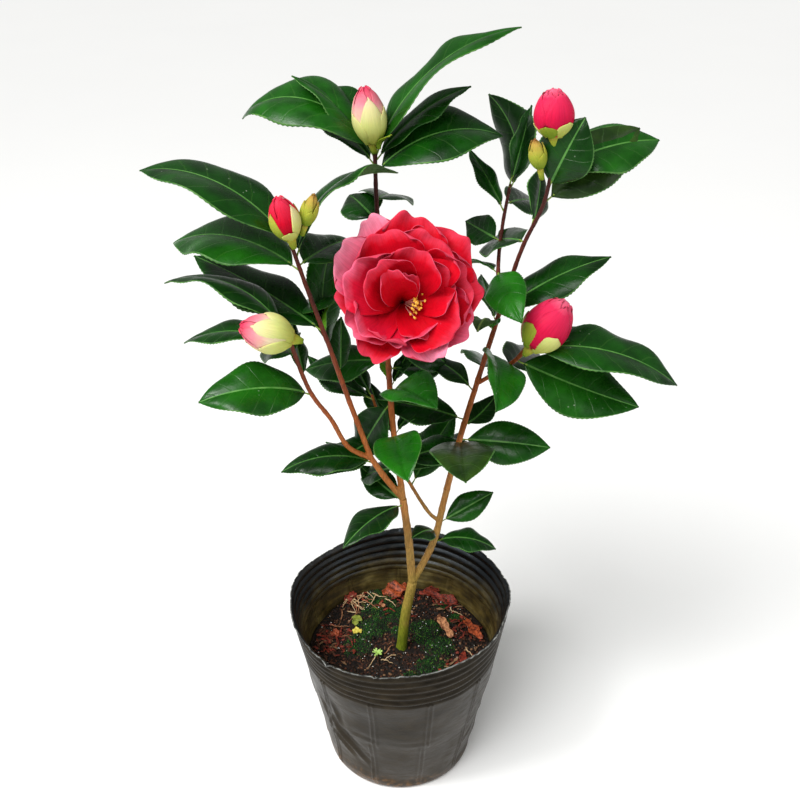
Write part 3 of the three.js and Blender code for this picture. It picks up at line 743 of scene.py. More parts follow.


# The open flower, seen from its front: angle 0 is right and 90 is up. A petal is
# [angle, reach, width, lean at the base, lean at the tip, cup, ruffle, shade], and the shades are
# 0 crimson, 1 rose and 2 pink. Pink is partly painted highlight that lightens the petals catching the light
flower = {
    "heart": [1.5, -26, 393.5], "compass": 272, "rise": 30, "size": 0.92, "thickness": 0.5, "rows": 30,
    "columns": 26, "twist": 20, "rounding": 0.26, "notch": 0.05, "crumple": 3.0, "fineCrumple": 1.1,
    "crumpleSize": 13,
}
ringDepths = {"outer": 3.0, "middle": 1.2, "inner": 0.0, "heart": 0.0}
petals = {
    "outer": [
        [82, 54, 50, 58, 96, 0.4, 3.0, 0], [48, 55, 54, 62, 98, 0.3, 3.2, 0], [12, 50, 50, 62, 96, 0.4, 3.0, 0],
        [-24, 46, 46, 62, 84, 0.5, 2.8, 1], [-60, 43, 38, 56, 84, 0.7, 2.2, 2], [-122, 43, 36, 66, 96, 0.6, 1.6, 0],
        [-152, 38, 42, 58, 80, 0.6, 3.0, 1], [170, 42, 42, 68, 100, 0.5, 2.4, 0], [140, 51, 50, 58, 86, 0.4, 3.0, 2],
        [112, 56, 44, 66, 104, 0.3, 3.0, 2]],
    "middle": [
        [64, 43, 58, 48, 82, 0.5, 3.8, 0], [16, 43, 56, 52, 84, 0.5, 3.6, 0], [-34, 38, 50, 48, 72, 0.6, 3.4, 0],
        [-88, 27, 52, 66, 34, 0.8, 3.2, 1], [-140, 31, 54, 74, 22, 0.9, 2.8, 1], [150, 38, 50, 44, 72, 0.7, 3.4, 1],
        [108, 43, 50, 46, 78, 0.5, 3.6, 0]],
    "inner": [
        [74, 30, 46, 28, 62, 0.8, 3.6, 0], [22, 32, 44, 42, 70, 0.7, 3.2, 0], [134, 26, 44, 20, 54, 1.0, 3.4, 0],
        [-52, 28, 36, 48, 70, 0.7, 2.8, 0]],
    "heart": [
        [118, 17, 30, 10, 44, 1.3, 2.6, 0], [78, 15, 22, 14, 44, 1.2, 2.4, 0]],
}


def flowerAxes():
    axis = heading(flower["compass"], flower["rise"])
    right = unit(np.cross(np.array([0, 0, 1.0]), axis))
    return np.array(flower["heart"], float) * mm, axis, right, np.cross(axis, right)


def addPetal(stack, petal, depth, chance):
    angle, reach, width, lean, tipLean, cup, ruffle, shade = petal
    heart, axis, right, up = flowerAxes()
    reach, width = reach * flower["size"], width * flower["size"]
    s = np.linspace(0, 1, flower["rows"])
    v = np.sin(np.linspace(-0.5 * math.pi, 0.5 * math.pi, flower["columns"]) * 0.8) / math.sin(0.4 * math.pi)
    turn = math.radians(angle)
    radial = math.cos(turn) * right + math.sin(turn) * up
    tangent = np.cross(axis, radial)
    # the middle line leaves the heart at one lean and ends at another
    tilt = np.radians(lean + (tipLean - lean) * s ** 1.4)
    step = np.diff(s, prepend=0)
    along, outward = np.cumsum(np.cos(tilt) * step), np.cumsum(np.sin(tilt) * step)
    stretched = reach / max(outward.max(), 0.2)
    along, outward = along * stretched, outward * stretched
    path = heart + (axis * (along - depth)[:, None] + radial * (outward + 0.8)[:, None]) * mm
    inner = axis[None] * np.sin(tilt)[:, None] - radial[None] * np.cos(tilt)[:, None]
    twist = math.radians(chance.uniform(-flower["twist"], flower["twist"])) * s[:, None]
    sideways = np.cos(twist) * tangent[None] + np.sin(twist) * inner
    inner = np.cos(twist) * inner - np.sin(twist) * tangent[None]
    forward = axis[None] * np.cos(tilt)[:, None] + radial[None] * np.sin(tilt)[:, None]
    half = np.maximum(width / 2 * s ** 0.55 * (1 - 0.42 * s ** 6) / 0.84, 1.0)
    bend = cup * (0.5 + 0.5 * s) + 1e-3
    across = half[:, None] * np.sin(bend[:, None] * v[None]) / bend[:, None]
    rise = half[:, None] * (1 - np.cos(bend[:, None] * v[None])) / bend[:, None]
    # ruffles grow towards the tip and the sides
    a, b, c = (chance.uniform(0, 6.28) for _ in range(3))
    s2, v2 = s[:, None], v[None]
    wave = ruffle * s2 ** 2 * np.abs(v2) ** 1.6 * np.sin(4.4 * s2 + 1.7 * np.sign(v2) + a)
    wave += 0.6 * ruffle * s2 ** 3 * np.sin(3.6 * v2 + b) + 0.22 * ruffle * s2 ** 5 * np.sin(10 * v2 + c)
    wave += 0.35 * ruffle * np.sin(2.3 * v2 + a) * np.sin(np.pi * s2)
    # the tip is rounded off at its sides and notched in its middle
    rounded = flower["rounding"] * np.abs(v2) ** 2.5 * s2 ** 4
    tip = -reach * (rounded + flower["notch"] * np.exp(-(v2 / 0.22) ** 2) * s2 ** 8)
    tip += 0.02 * reach * s2 ** 5 * np.sin(4.5 * v2 + b)
    grid = (path[:, None] + sideways[:, None] * (across * mm)[..., None]
            + inner[:, None] * ((rise + wave) * mm)[..., None] + forward[:, None] * (tip * mm)[..., None])
    for i in range(2, flower["rows"]):
        for j in range(flower["columns"]):
            x, y, z = grid[i, j] / mm / flower["crumpleSize"]
            crumple = noise.noise((x + a, y + b, z)) * flower["crumple"]
            crumple += noise.noise((x * 2.6 + c, y * 2.6, z * 2.6)) * flower["fineCrumple"]
            grid[i, j] += inner[i] * crumple * s[i] ** 1.3 * mm
    thick = flower["thickness"] * (1 - 0.45 * s)[:, None] * np.ones_like(v2)
    flow = np.stack([np.broadcast_to(0.5 + 0.5 * v2, grid.shape[:2]),
                     np.broadcast_to(s2, grid.shape[:2]) ** (1 - 0.25 * np.abs(v2))], 2)
    columns = flower["columns"] - 1
    # the shell's upper side is the petal's back, its under side faces the viewer
    addShell(stack, grid[:, ::-1], thick * mm, [3] * columns, [shade] * columns, 4, flow[:, ::-1])


print("bloom")
# The lighter pink tips and the pink rims of these petal colours are partly painted highlight where light catches the
# edges; the deep red is the petals' own colour
petalSkins = [petalSkin(*row, 0.1) for row in (
    ("petal_crimson", [(0, "#7c010c"), (0.35, "#b80414"), (0.84, "#c80a20"), (1, "#d63a52")], 0.5, 0.1),
    ("petal_rose", [(0, "#860310"), (0.4, "#c2081c"), (0.78, "#cc1634"), (1, "#e46482")], 0.5, 0.12),
    ("petal_pink_painted_highlight", [(0, "#9c0a1e"), (0.35, "#cc1a38"), (0.72, "#dc4266"), (1, "#f08ea8")], 0.5, 0.12),
    ("petal_back", [(0, "#8c0a18"), (0.5, "#ac1226"), (1, "#cc4058")], 0.55, 0.12),
    ("petal_rim", [(0, "#b80e24"), (1, "#d85872")], 0.5, 0.1),
)]
chance = random.Random("camellia bloom")
stack = newStack()
for ringName, depth in ringDepths.items():
    for petal in petals[ringName]:
        addPetal(stack, petal, depth + chance.uniform(-0.6, 0.6), chance)
settle(stackPiece("bloom_petals", stack, petalSkins), ["open_bloom"])

stamens = {"count": 26, "length": 15, "radius": 0.32, "anther": 0.75, "angle": -25, "spread": 42, "lean": 34}
heart, axis, right, up = flowerAxes()
filaments, anthers = newStack(), newStack()
for k in range(stamens["count"]):
    turn = math.radians(stamens["angle"] + chance.uniform(-1, 1) * stamens["spread"])
    lean = math.radians(stamens["lean"] + chance.uniform(-14, 14))
    radial = math.cos(turn) * right + math.sin(turn) * up
    length = stamens["length"] * chance.uniform(0.75, 1.1)
    run = np.linspace(0, 1, 7)[:, None]
    way = math.cos(lean) * axis + math.sin(lean) * radial
    line = heart + radial * 1.5 * mm + (way * run * length + axis * 1.8 * run ** 2) * mm
    addTube(filaments, line, np.linspace(stamens["radius"] * 1.3, stamens["radius"] * 0.8, 7) * mm, 6, 0)
    tip = unit(np.array([chance.gauss(0, 1) for _ in range(3)]))
    beads = line[-1] + tip * (np.linspace(-1, 1, 5)[:, None] * 1.1 * mm)
    addTube(anthers, beads, np.array([0.25, 0.8, 1, 0.8, 0.25]) * mm * stamens["anther"], 7, 0)
filamentSkin = mottledSkin("filament_skin", "#e0788a", "#e8c09a", 0.5, 3)
# Pollen-dusted anthers: dry, matt and grainy yellow
antherSkin = mottledSkin("pollen_anther", "#f2b52c", "#ffd964", 0.8, 1)
settle(stackPiece("stamen_filaments", filaments, [filamentSkin]))
settle(stackPiece("stamen_anthers", anthers, [antherSkin]))
# sepals in a cup behind the petals, on a neck that joins them to the stalk
collar = newStack()
cup = [list(heart / mm - axis * 7), flower["compass"], flower["rise"], 14, 8]
for k in range(6):
    addScale(collar, cup, k * 1.05, 0.7, 0.0, 0.62, 0.8 + 0.2 * (k % 2), greens[k % 2], chance, 0.2)
stalkEnd = limbPoint(limbs["bloom_stalk"], 1.0)
run = np.linspace(0, 1, 8)[:, None]
neck = stalkEnd + (heart - axis * 4 * mm - stalkEnd) * run
addTube(collar, neck, np.linspace(1.9, 4.5, 8) * mm, 12, olive)
settle(stackPiece("bloom_sepals", collar, budSkins))


# The nursery pot: thin soft blow-moulded film, ridged under the rim, dented and a little torn
pot = {
    "height": 143, "rim": 80, "foot": 52, "footTop": 56, "corner": 5, "wall": 0.9, "around": 500,
    "ridgeFrom": 108, "ridges": 5.5, "ridgeDepth": 1.9, "sway": 1.6, "baseRing": 7, "baseLift": 2.5,
    "ribs": 11, "ribCompass": 254, "ribGap": 3.2, "ribWidth": 0.75, "ribHeight": 0.75, "ribShift": -2.6,
    "holes": [205, 115, 25], "holeHalf": 6, "holeTop": 10.5, "dent": 1.3, "tear": 1.1, "curl": 0.9,
    "nicks": [[3.4, 232, 2.6], [-1.2, 237.5, 2.0], [1.6, 262, 5]],   # torn places: depth, compass, width
}
creaseRadius = 68   # where compass turns into millimetres round the wall
# Creases: compass and height of each end, depth and half width
creases = [[219, 72, 247, 27, 2.2, 2.0], [217, 52, 236, 30, 1.7, 1.6], [224, 92, 232, 60, 1.0, 1.6],
           [236, 66, 258, 60, 0.6, 1.3], [256, 62, 306, 57, 0.4, 1.1], [212, 84, 224, 44, 1.1, 1.8],
           [238, 50, 250, 34, 0.9, 1.4], [40, 60, 95, 48, 1.2, 2.0], [130, 80, 160, 40, 1.3, 2.2],
           [350, 40, 330, 70, 0.9, 1.6], [318, 30, 336, 52, 0.8, 1.5]]


def smooth(value, low, high):
    t = np.clip((value - low) / (high - low), 0, 1)
    return t * t * (3 - 2 * t)


def potRadius(z):
    climb = np.clip(z, pot["corner"], pot["height"]) - pot["corner"]
    return pot["footTop"] + (pot["rim"] - pot["footTop"]) * climb / (pot["height"] - pot["corner"])


def distanceToCrease(x, z, ends):
    ax, az, bx, bz = ends
    run = np.clip(((x - ax) * (bx - ax) + (z - az) * (bz - az)) / ((bx - ax) ** 2 + (bz - az) ** 2), 0, 1)
    side = (bx - ax) * (z - az) - (bz - az) * (x - ax)
    far = np.hypot(x - ax - run * (bx - ax), z - az - run * (bz - az))
    return far * np.sign(side), run


# How far the film stands in or out at each angle and height
def potRelief(angle, z):
    share = smooth(z, pot["ridgeFrom"], pot["height"])
    band = smooth(z, pot["ridgeFrom"] - 1, pot["ridgeFrom"] + 1.5)
    phase = (z - pot["ridgeFrom"]) / (pot["height"] - pot["ridgeFrom"]) * pot["ridges"] * 2 * math.pi
    out = pot["sway"] * (np.sin(2 * angle + 0.6) + 0.5 * np.sin(5 * angle)) * share
    out += -pot["ridgeDepth"] * (0.5 + 0.5 * np.cos(phase)) * band
    body = 1 - band
    compass = np.degrees(angle) % 360
    spacing = 360 / pot["ribs"]
    upper = smooth(z, 54, 56)   # the ribs step sideways at mid height
    for offset, share in ((0.0, upper), (pot["ribShift"], 1 - upper)):
        away = (compass - pot["ribCompass"] - offset + spacing / 2) % spacing - spacing / 2
        away = away * math.pi / 180 * potRadius(z)
        for side in (-1, 1):
            rib = np.exp(-((away - side * pot["ribGap"] / 2) / pot["ribWidth"]) ** 2)
            out += share * body * smooth(z, 5, 9) * pot["ribHeight"] * rib
    for c0, z0, c1, z1, depth, width in creases:
        centre = (c0 + c1) / 2
        near = np.radians((compass - centre + 180) % 360 - 180) * creaseRadius
        ends = [math.radians(c0 - centre) * creaseRadius, z0, math.radians(c1 - centre) * creaseRadius, z1]
        far, run = distanceToCrease(near, z, ends)
        strong = np.sin(np.pi * np.clip(run, 0.02, 0.98)) ** 0.6
        hollow = 0.9 * np.exp(-((far - 2.2 * width) / (1.8 * width)) ** 2)
        out += depth * strong * (np.exp(-np.abs(far) / width) - hollow)
    return out


# Black polythene film: a soft satin gloss, greyed by handling, with dried mud at the foot
def filmMaterial(name, inside):
    # The inside's reflections are tinted blue and the outside's warm: this is painted reflection colour, not the
    # black film's own
    paintedReflectionTint = (0.72, 0.86, 1.0, 1.0) if inside else (1.0, 0.86, 0.66, 1.0)
    tinted = {"Specular Tint": paintedReflectionTint}
    material, shader, place = startMaterial(name, 0.4, 0.6 if inside else 0.24, 1.5, **tinted)
    height = part(material, place, "Z")
    cloud = grain(material, place, 30, 5, 0.6)
    greys = [(0.3, "#060606"), (0.48, "#0d0b09"), (0.6, "#191510"), (0.75, "#2a2319")]
    base = colourRamp(material, cloud, greys)
    rub = stretch(material, place, (0.35, 0.35, 1.6))
    scuff = remap(material, grain(material, rub, 5, 6, 0.7), 0.46, 0.7, 0, 0.5)
    worn = blend(material, scuff, base, linear("#3f382c"))
    wander = calc(material, "MULTIPLY_ADD", grain(material, place, 12, 4), 0.022, height)
    if inside:   # a lime tidemark just above the mix
        stain = remap(material, wander, 0.107, 0.139, 0.9, 0.0)
        patchy = calc(material, "MULTIPLY", stain, remap(material, cloud, 0.3, 0.6, 0.55, 1.0))
        limes = [(0.3, "#332a14"), (0.5, "#6b5a2c"), (0.7, "#948450")]
        lime = colourRamp(material, grain(material, place, 16, 4), limes)
        rings = stretch(material, place, (0.12, 0.12, 1.0))
        tide = remap(material, grain(material, rings, 2.2, 3), 0.4, 0.6, 0.55, 1.15)
        final = blend(material, patchy, worn, darken(material, lime, tide))
    else:
        leaning = calc(material, "MULTIPLY_ADD", part(material, place, "X"), 0.16, wander)
        mud = remap(material, leaning, 0.012, 0.028, 0.9, 0.0)
        dusty = remap(material, wander, 0.02, 0.1, 0.4, 0.05)
        soft = blend(material, dusty, worn, linear("#2e261a"))
        clays = [(0.35, "#151007"), (0.5, "#3e2a12"), (0.66, "#765024")]
        final = blend(material, mud, soft, colourRamp(material, grain(material, place, 4, 4), clays))
    rough = remap(material, scuff, 0, 0.5, 0.33, 0.6)
    wrinkle = bumpFrom(material, grain(material, place, 9, 4), 0.9, 0.35)
    fine = bumpFrom(material, grain(material, place, 0.9, 2), 0.1, 0.35, wrinkle)
    return dress(material, shader, final, fine, rough)


# A circle at the foot, drawn up ring by ring, then pressed into shape and given its thickness
def makePot():
    clearSelection()
    bpy.ops.mesh.primitive_circle_add(vertices=pot["around"], radius=pot["foot"] * mm, fill_type="NGON",
                                      location=(0, 0, 0))
    piece = bpy.context.object
    piece.name = "nursery_pot_film"
    # the rings lie closest where the ridges are
    heights = np.concatenate([np.arange(pot["corner"], 26, 2.2), np.arange(26, 106, 2.4),
                              np.arange(106, pot["height"], 1.05), [pot["height"]]])
    levels = [(54, 0.8), (55.4, 2.4)] + [(potRadius(z), z) for z in heights]
    bpy.ops.object.mode_set(mode="EDIT")
    bpy.ops.mesh.select_all(action="SELECT")
    bpy.ops.mesh.inset(thickness=pot["baseRing"] * mm)
    bpy.ops.transform.translate(value=(0, 0, pot["baseLift"] * mm))   # the middle of the base is pushed up
    bpy.ops.object.mode_set(mode="OBJECT")
    selectBeyond(piece, (pot["foot"] - 0.5) * mm)
    bpy.ops.object.mode_set(mode="EDIT")
    bpy.ops.mesh.select_mode(type="VERT")
    radius, height = pot["foot"], 0.0
    for nextRadius, nextHeight in levels:
        bpy.ops.mesh.extrude_region_move(TRANSFORM_OT_translate={"value": (0, 0, (nextHeight - height) * mm)})
        bpy.ops.transform.resize(value=(nextRadius / radius, nextRadius / radius, 1), center_override=(0, 0, 0))
        radius, height = nextRadius, nextHeight
    bpy.ops.mesh.select_all(action="SELECT")
    bpy.ops.mesh.normals_make_consistent(inside=False)
    bpy.ops.mesh.select_mode(type="FACE")
    bpy.ops.mesh.select_all(action="DESELECT")
    bpy.ops.object.mode_set(mode="OBJECT")
    # drainage notches where the wall meets the base
    for face in piece.data.polygons:
        middle = face.center
        compass = math.degrees(math.atan2(middle.y, middle.x)) % 360
        reach = min(abs((compass - hole + 180) % 360 - 180) for hole in pot["holes"])
        inNotch = (2.5 * mm < middle.z < (pot["holeTop"] - 0.12 * reach ** 2) * mm
                   and math.hypot(middle.x, middle.y) > 50 * mm)
        face.select = inNotch and reach < pot["holeHalf"]
    bpy.ops.object.mode_set(mode="EDIT")
    bpy.ops.mesh.delete(type="FACE")
    bpy.ops.object.mode_set(mode="OBJECT")
    mesh = piece.data
    points = meshPoints(mesh) / mm
    angle, z = np.arctan2(points[:, 1], points[:, 0]), points[:, 2]
    wall = np.hypot(points[:, 0], points[:, 1]) > pot["foot"] - 0.5
    # dents fade under the ridges and are strongest at the foot
    soft = np.array([noise.noise((p[0] / 34, p[1] / 34, p[2] / 26))
                     + 0.45 * noise.noise((p[0] / 13, p[1] / 13, p[2] / 18)) for p in points])
    low = smooth(z, 1, 12) * (1 - 0.75 * smooth(z, 100, 120)) * (1 + 0.5 * (1 - smooth(z, 6, 22)))
    out = np.where(wall, potRelief(angle, z) + pot["dent"] * soft * low, 0)
    share = smooth(z, pot["ridgeFrom"], pot["height"])
    dip = pot["sway"] * 0.8 * np.sin(3 * angle + 1.1) * share
    # the rim is frayed all round, torn in a few places and curled a little
    compass = np.degrees(angle) % 360
    fray = np.array([noise.noise((math.cos(a) * 14, math.sin(a) * 14, 2.0))
                     + 0.7 * noise.noise((math.cos(a) * 38, math.sin(a) * 38, 5.0)) for a in angle])
    nick = sum(depth * np.exp(-((compass - at) / width) ** 2) for depth, at, width in pot["nicks"])
    top = smooth(z, pot["height"] - 5, pot["height"])
    lowered = dip + top * (nick * 0.9 + pot["tear"] * np.abs(fray))
    curled = top * (pot["curl"] * np.sin(9 * angle + 1) + pot["curl"] * fray)
    radius = np.hypot(points[:, 0], points[:, 1]) + out + np.where(wall, curled * 0.6, 0)
    down = np.where(wall, lowered, 0)
    points = np.stack([radius * np.cos(angle), radius * np.sin(angle), z - down], 1) * mm
    mesh.vertices.foreach_set("co", points.ravel())
    mesh.materials.append(filmMaterial("black_polythene_film", False))
    mesh.materials.append(filmMaterial("black_polythene_stained", True))
    # stretched film turns whitish where it tore, and the pale grey on the cut rim is partly painted highlight
    mesh.materials.append(mottledSkin("torn_film_edge_and_painted_highlight", "#121314", "#8d8e8a", 0.5, 5))
    makeActive(piece)
    applyModifier(piece, "SOLIDIFY", thickness=pot["wall"] * mm, offset=-1, material_offset=1,
                  material_offset_rim=2)
    bpy.ops.object.shade_smooth()
    settle(piece, ["nursery_pot"])


print("pot")
makePot()


# Potting mix: damp bark compost under moss, with fallen bits on top
mix = {
    "top": 91.7, "sunk": 0.8, "rise": 4.0, "moundRadius": 60, "deep": 60.0, "cells": 230, "lump": 2.0,
    "smallLump": 0.9, "crumb": 1.1, "fineCrumb": 0.4, "crumbFlat": 0.7, "cushion": 1.9, "crumbs": 3200,
    "chips": 520, "moss": 11000, "specks": 170, "roots": 30,
}
# Moss patches: x, y and radius
mossPatches = [[-16, 50, 15], [-22, 20, 14], [-33, 0, 12], [20, 16, 15], [29, 0, 14], [25, -23, 15], [-4, 36, 14],
               [-20, 40, 12], [8, -34, 10], [-22, 66, 6], [42, 30, 8], [0, 14, 9], [34, 46, 7], [-8, 62, 8]]


def mossAt(x, y):
    cover = max(1 - ((x - px) ** 2 + (y - py) ** 2) / size ** 2 for px, py, size in mossPatches)
    return cover + 0.55 * noise.noise((x / 7, y / 7, 3.0)) + 0.3 * noise.noise((x / 3, y / 3, 8.0))


def mixHeight(x, y):
    away = math.hypot(x, y)
    lump = noise.noise((x / 13, y / 13, 1.0)) * mix["lump"] + noise.noise((x / 5, y / 5, 4.0)) * mix["smallLump"]
    crumb = noise.noise((x / 2.2, y / 2.2, 7.0)) * mix["crumb"] + noise.noise((x, y, 9.0)) * mix["fineCrumb"]
    cushion = mix["cushion"] * max(0.0, min(1.0, mossAt(x, y) * 1.6))
    mound = mix["rise"] * max(0.0, 1 - away / mix["moundRadius"])
    return mix["top"] - mix["sunk"] + mound * 0.6 + lump + crumb + cushion


# Wet compost: almost black where damp, rusty brown where bark shows, and rough all over
def compostMaterial():
    material, shader, place = startMaterial("damp_bark_compost", 0.8, 0.35)
    tone = colourRamp(material, grain(material, place, 3.5, 6, 0.7), [
        (0.35, "#080605"), (0.52, "#170f0a"), (0.64, "#2e170e"), (0.74, "#552718"), (0.86, "#7d4630")])
    shine = remap(material, grain(material, place, 5, 3), 0.35, 0.65, 0.45, 0.95)   # wet here, dry there
    crumbly = bumpFrom(material, grain(material, place, 1.2, 5, 0.7), 0.9, 0.9)
    return dress(material, shader, tone, crumbly, shine)


# A square grid cut to a disc, its outline drawn to a true circle, raised into crumbs and closed below
def makeMix():
    clearSelection()
    edge = potRadius(mix["top"]) - pot["wall"] - 1.3
    bpy.ops.mesh.primitive_grid_add(x_subdivisions=mix["cells"], y_subdivisions=mix["cells"],
                                    size=2 * edge * mm, location=(0, 0, mix["top"] * mm))
    piece = bpy.context.object
    piece.name = "compost"
    bpy.ops.object.transform_apply(location=True)
    selectBeyond(piece, edge * mm)
    bpy.ops.object.mode_set(mode="EDIT")
    bpy.ops.mesh.select_mode(type="VERT")
    bpy.ops.mesh.delete(type="VERT")
    bpy.ops.mesh.select_non_manifold()
    bpy.ops.object.mode_set(mode="OBJECT")
    for vertex in piece.data.vertices:
        if vertex.select:
            away = math.hypot(vertex.co.x, vertex.co.y)
            vertex.co.x *= edge * mm / away
            vertex.co.y *= edge * mm / away
    rim = {vertex.index for vertex in piece.data.vertices if vertex.select}
    for vertex in piece.data.vertices:
        x, y = vertex.co.x / mm, vertex.co.y / mm
        inner = 0.35 if vertex.index in rim else 1.0
        vertex.co.z = (mix["top"] - 1.5 + (mixHeight(x, y) - mix["top"] + 1.5) * inner) * mm
    bpy.ops.object.mode_set(mode="EDIT")
    deep = mix["deep"]
    shrink = (potRadius(mix["top"] - deep) - pot["wall"] - 2.4) / edge
    bpy.ops.mesh.extrude_region_move(TRANSFORM_OT_translate={"value": (0, 0, -deep * mm)})
    bpy.ops.transform.resize(value=(shrink, shrink, 0), center_override=(0, 0, (mix["top"] - deep) * mm))
    bpy.ops.mesh.edge_face_add()
    bpy.ops.mesh.select_all(action="SELECT")
    bpy.ops.mesh.normals_make_consistent(inside=False)
    bpy.ops.object.mode_set(mode="OBJECT")
    piece.data.materials.append(compostMaterial())
    bpy.ops.object.shade_smooth()
    settle(piece, ["potting_mix"])
    return edge


print("potting mix")
mixEdge = makeMix()


def surfacePoint(x, y, lift):
    return np.array([x, y, mixHeight(x, y) + lift]) * mm


def nearTrunk(x, y, reach):
    return math.hypot(x - limbs["trunk"][2][0], y) < reach


# A random spot on the mix inside a radius
def scatter(chance, radius):
    away, turn = radius * chance.random() ** 0.5, chance.uniform(0, 6.28)
    return away * math.cos(turn), away * math.sin(turn)


# Moss: cushions of tiny pointed shoots, each a three-sided spike
def addSpike(stack, root, tip, width, kind):
    way = unit(tip - root)
    side = unit(np.cross(way, np.array([0.3, 0.5, 0.8])))
    other = np.cross(way, side)
    thirds = (0, 2.094, 4.189)
    ring = [root + (math.cos(a) * side + math.sin(a) * other) * width for a in thirds]
    points = np.array(ring + [tip])
    faces = [(0, 2, 1), (0, 1, 3), (1, 2, 3), (2, 0, 3)]
    stackMesh(stack, points, faces, [kind] * 4, np.zeros((4, 2)))


# A lump with twenty faces, flattened and turned at random
def addCrumb(stack, centre, size, chance, kind):
    t = (1 + 5 ** 0.5) / 2   # the golden ratio, which makes the twenty faces alike
    corners = np.array([(-1, t, 0), (1, t, 0), (-1, -t, 0), (1, -t, 0), (0, -1, t), (0, 1, t), (0, -1, -t),
                        (0, 1, -t), (t, 0, -1), (t, 0, 1), (-t, 0, -1), (-t, 0, 1)], float) / 1.9
    faces = [(0, 11, 5), (0, 5, 1), (0, 1, 7), (0, 7, 10), (0, 10, 11), (1, 5, 9), (5, 11, 4), (11, 10, 2),
             (10, 7, 6), (7, 1, 8), (3, 9, 4), (3, 4, 2), (3, 2, 6), (3, 6, 8), (3, 8, 9), (4, 9, 5), (2, 4, 11),
             (6, 2, 10), (8, 6, 7), (9, 8, 1)]
    corners *= np.array([[chance.uniform(0.7, 1.25)] for _ in corners])
    corners *= np.array([1, chance.uniform(0.6, 1), mix["crumbFlat"]])
    turn = chance.uniform(0, 6.28)
    spun = np.array([[math.cos(turn), -math.sin(turn), 0], [math.sin(turn), math.cos(turn), 0], [0, 0, 1]])
    stackMesh(stack, corners @ spun.T * size * mm / 2 + centre, faces, [kind] * len(faces), np.zeros((12, 2)))


# A thin dry flake or fallen leaf, curled and ragged
def addFlake(stack, centre, way, length, width, chance, kind, curl, tilt, fine):
    way = unit(np.asarray(way, float))
    if tilt is None:
        tilt = [chance.uniform(-0.4, 0.4), chance.uniform(-0.4, 0.4), 1.0]
    upright = unit(np.asarray(tilt, float))
    side = unit(np.cross(upright, way))
    upright = np.cross(way, side)
    s, v = np.meshgrid(np.linspace(0, 1, fine + 2), np.linspace(-1, 1, fine), indexing="ij")
    ragged = (1 + 0.26 * np.sin(9 * s + chance.uniform(0, 6)) * v ** 2
              + 0.18 * np.sin(19 * s + chance.uniform(0, 6)) * v ** 2)
    half = width / 2 * np.sin(np.pi * np.clip(0.06 + 0.88 * s, 0, 1)) ** 0.6 * ragged
    rise = width * curl * (0.5 * v ** 2 + 0.25 * np.sin(4 * s + chance.uniform(0, 6)) * v + 0.3 * np.sin(3 * s)
                           + 0.3 * np.sin(14 * s + 3 * v + chance.uniform(0, 6)))
    shape = way * ((s - 0.5) * length)[..., None] + side * (v * half)[..., None] + upright * rise[..., None]
    grid = centre + shape * mm
    addShell(stack, grid[:, ::-1], 0.4 * mm, [kind] * (fine - 1), [kind] * (fine - 1), kind)


print("moss and litter")
chance = random.Random("moss")
mossStack = newStack()
placed = 0
while placed < mix["moss"]:
    x, y = chance.uniform(-mixEdge, mixEdge), chance.uniform(-mixEdge, mixEdge)
    thick = mossAt(x, y)
    if math.hypot(x, y) > mixEdge - 2 or thick < chance.uniform(0.02, 0.6) or nearTrunk(x, y, 5.5):
        continue
    root = surfacePoint(x, y, -0.4)
    tall = chance.uniform(1.0, 2.4)
    lean = np.array([chance.gauss(0, 0.55), chance.gauss(0, 0.55), 1.0])
    tip, width = root + unit(lean) * tall * mm, chance.uniform(0.28, 0.5) * mm
    addSpike(mossStack, root, tip, width, chance.choices([0, 1, 2], [6, 3, 1])[0])
    placed += 1
settle(stackPiece("moss_shoots", mossStack, [mottledSkin(*row) for row in (
    ("moss_deep_green", "#041804", "#0e3a0a", 0.7, 8), ("moss_green", "#0c330a", "#1f6414", 0.7, 8),
    ("moss_bright", "#2f6414", "#6c9a30", 0.7, 6))]))

# Litter. Its kinds are 0 to 2 crumbs from dark to pale, 3 red bark, 4 white grit, 5 rusty, 6 tan, 7 olive and
# 8 yellow leaf
chance = random.Random("litter")
litter = newStack()
for _ in range(mix["crumbs"]):
    x, y = scatter(chance, mixEdge - 1.5)
    if mossAt(x, y) > 0.35 or nearTrunk(x, y, 6):
        continue
    size = chance.uniform(0.9, 2.8)
    addCrumb(litter, surfacePoint(x, y, 0.2), size, chance, chance.choices([0, 1, 2], [5, 4, 1])[0])
# where the bark chips lie thickest: x, y and spread
chipPlaces = [[-50, 2, 14], [-44, 58, 12], [36, 52, 13], [52, 20, 12], [-56, 14, 9], [10, -52, 16], [46, -22, 14],
              [0, 60, 20]]
for k in range(mix["chips"]):
    px, py, size = chipPlaces[k % len(chipPlaces)]
    x, y = chance.gauss(px, size * 0.6), chance.gauss(py, size * 0.6)
    if math.hypot(x, y) > mixEdge - 3 or nearTrunk(x, y, 7):
        continue
    turn = chance.uniform(0, 6.28)
    way = [math.cos(turn), math.sin(turn), chance.uniform(-0.2, 0.3)]
    length, width = chance.uniform(2, 7), chance.uniform(0.9, 2.4)
    kind = chance.choices([3, 1, 2], [5, 3, 1])[0]
    addFlake(litter, surfacePoint(x, y, 1.0), way, length, width, chance, kind, 0.35, None, 4)
for _ in range(mix["specks"]):
    x, y = scatter(chance, mixEdge - 3)
    addCrumb(litter, surfacePoint(x, y, 0.9), chance.uniform(0.5, 1.3), chance, 4)
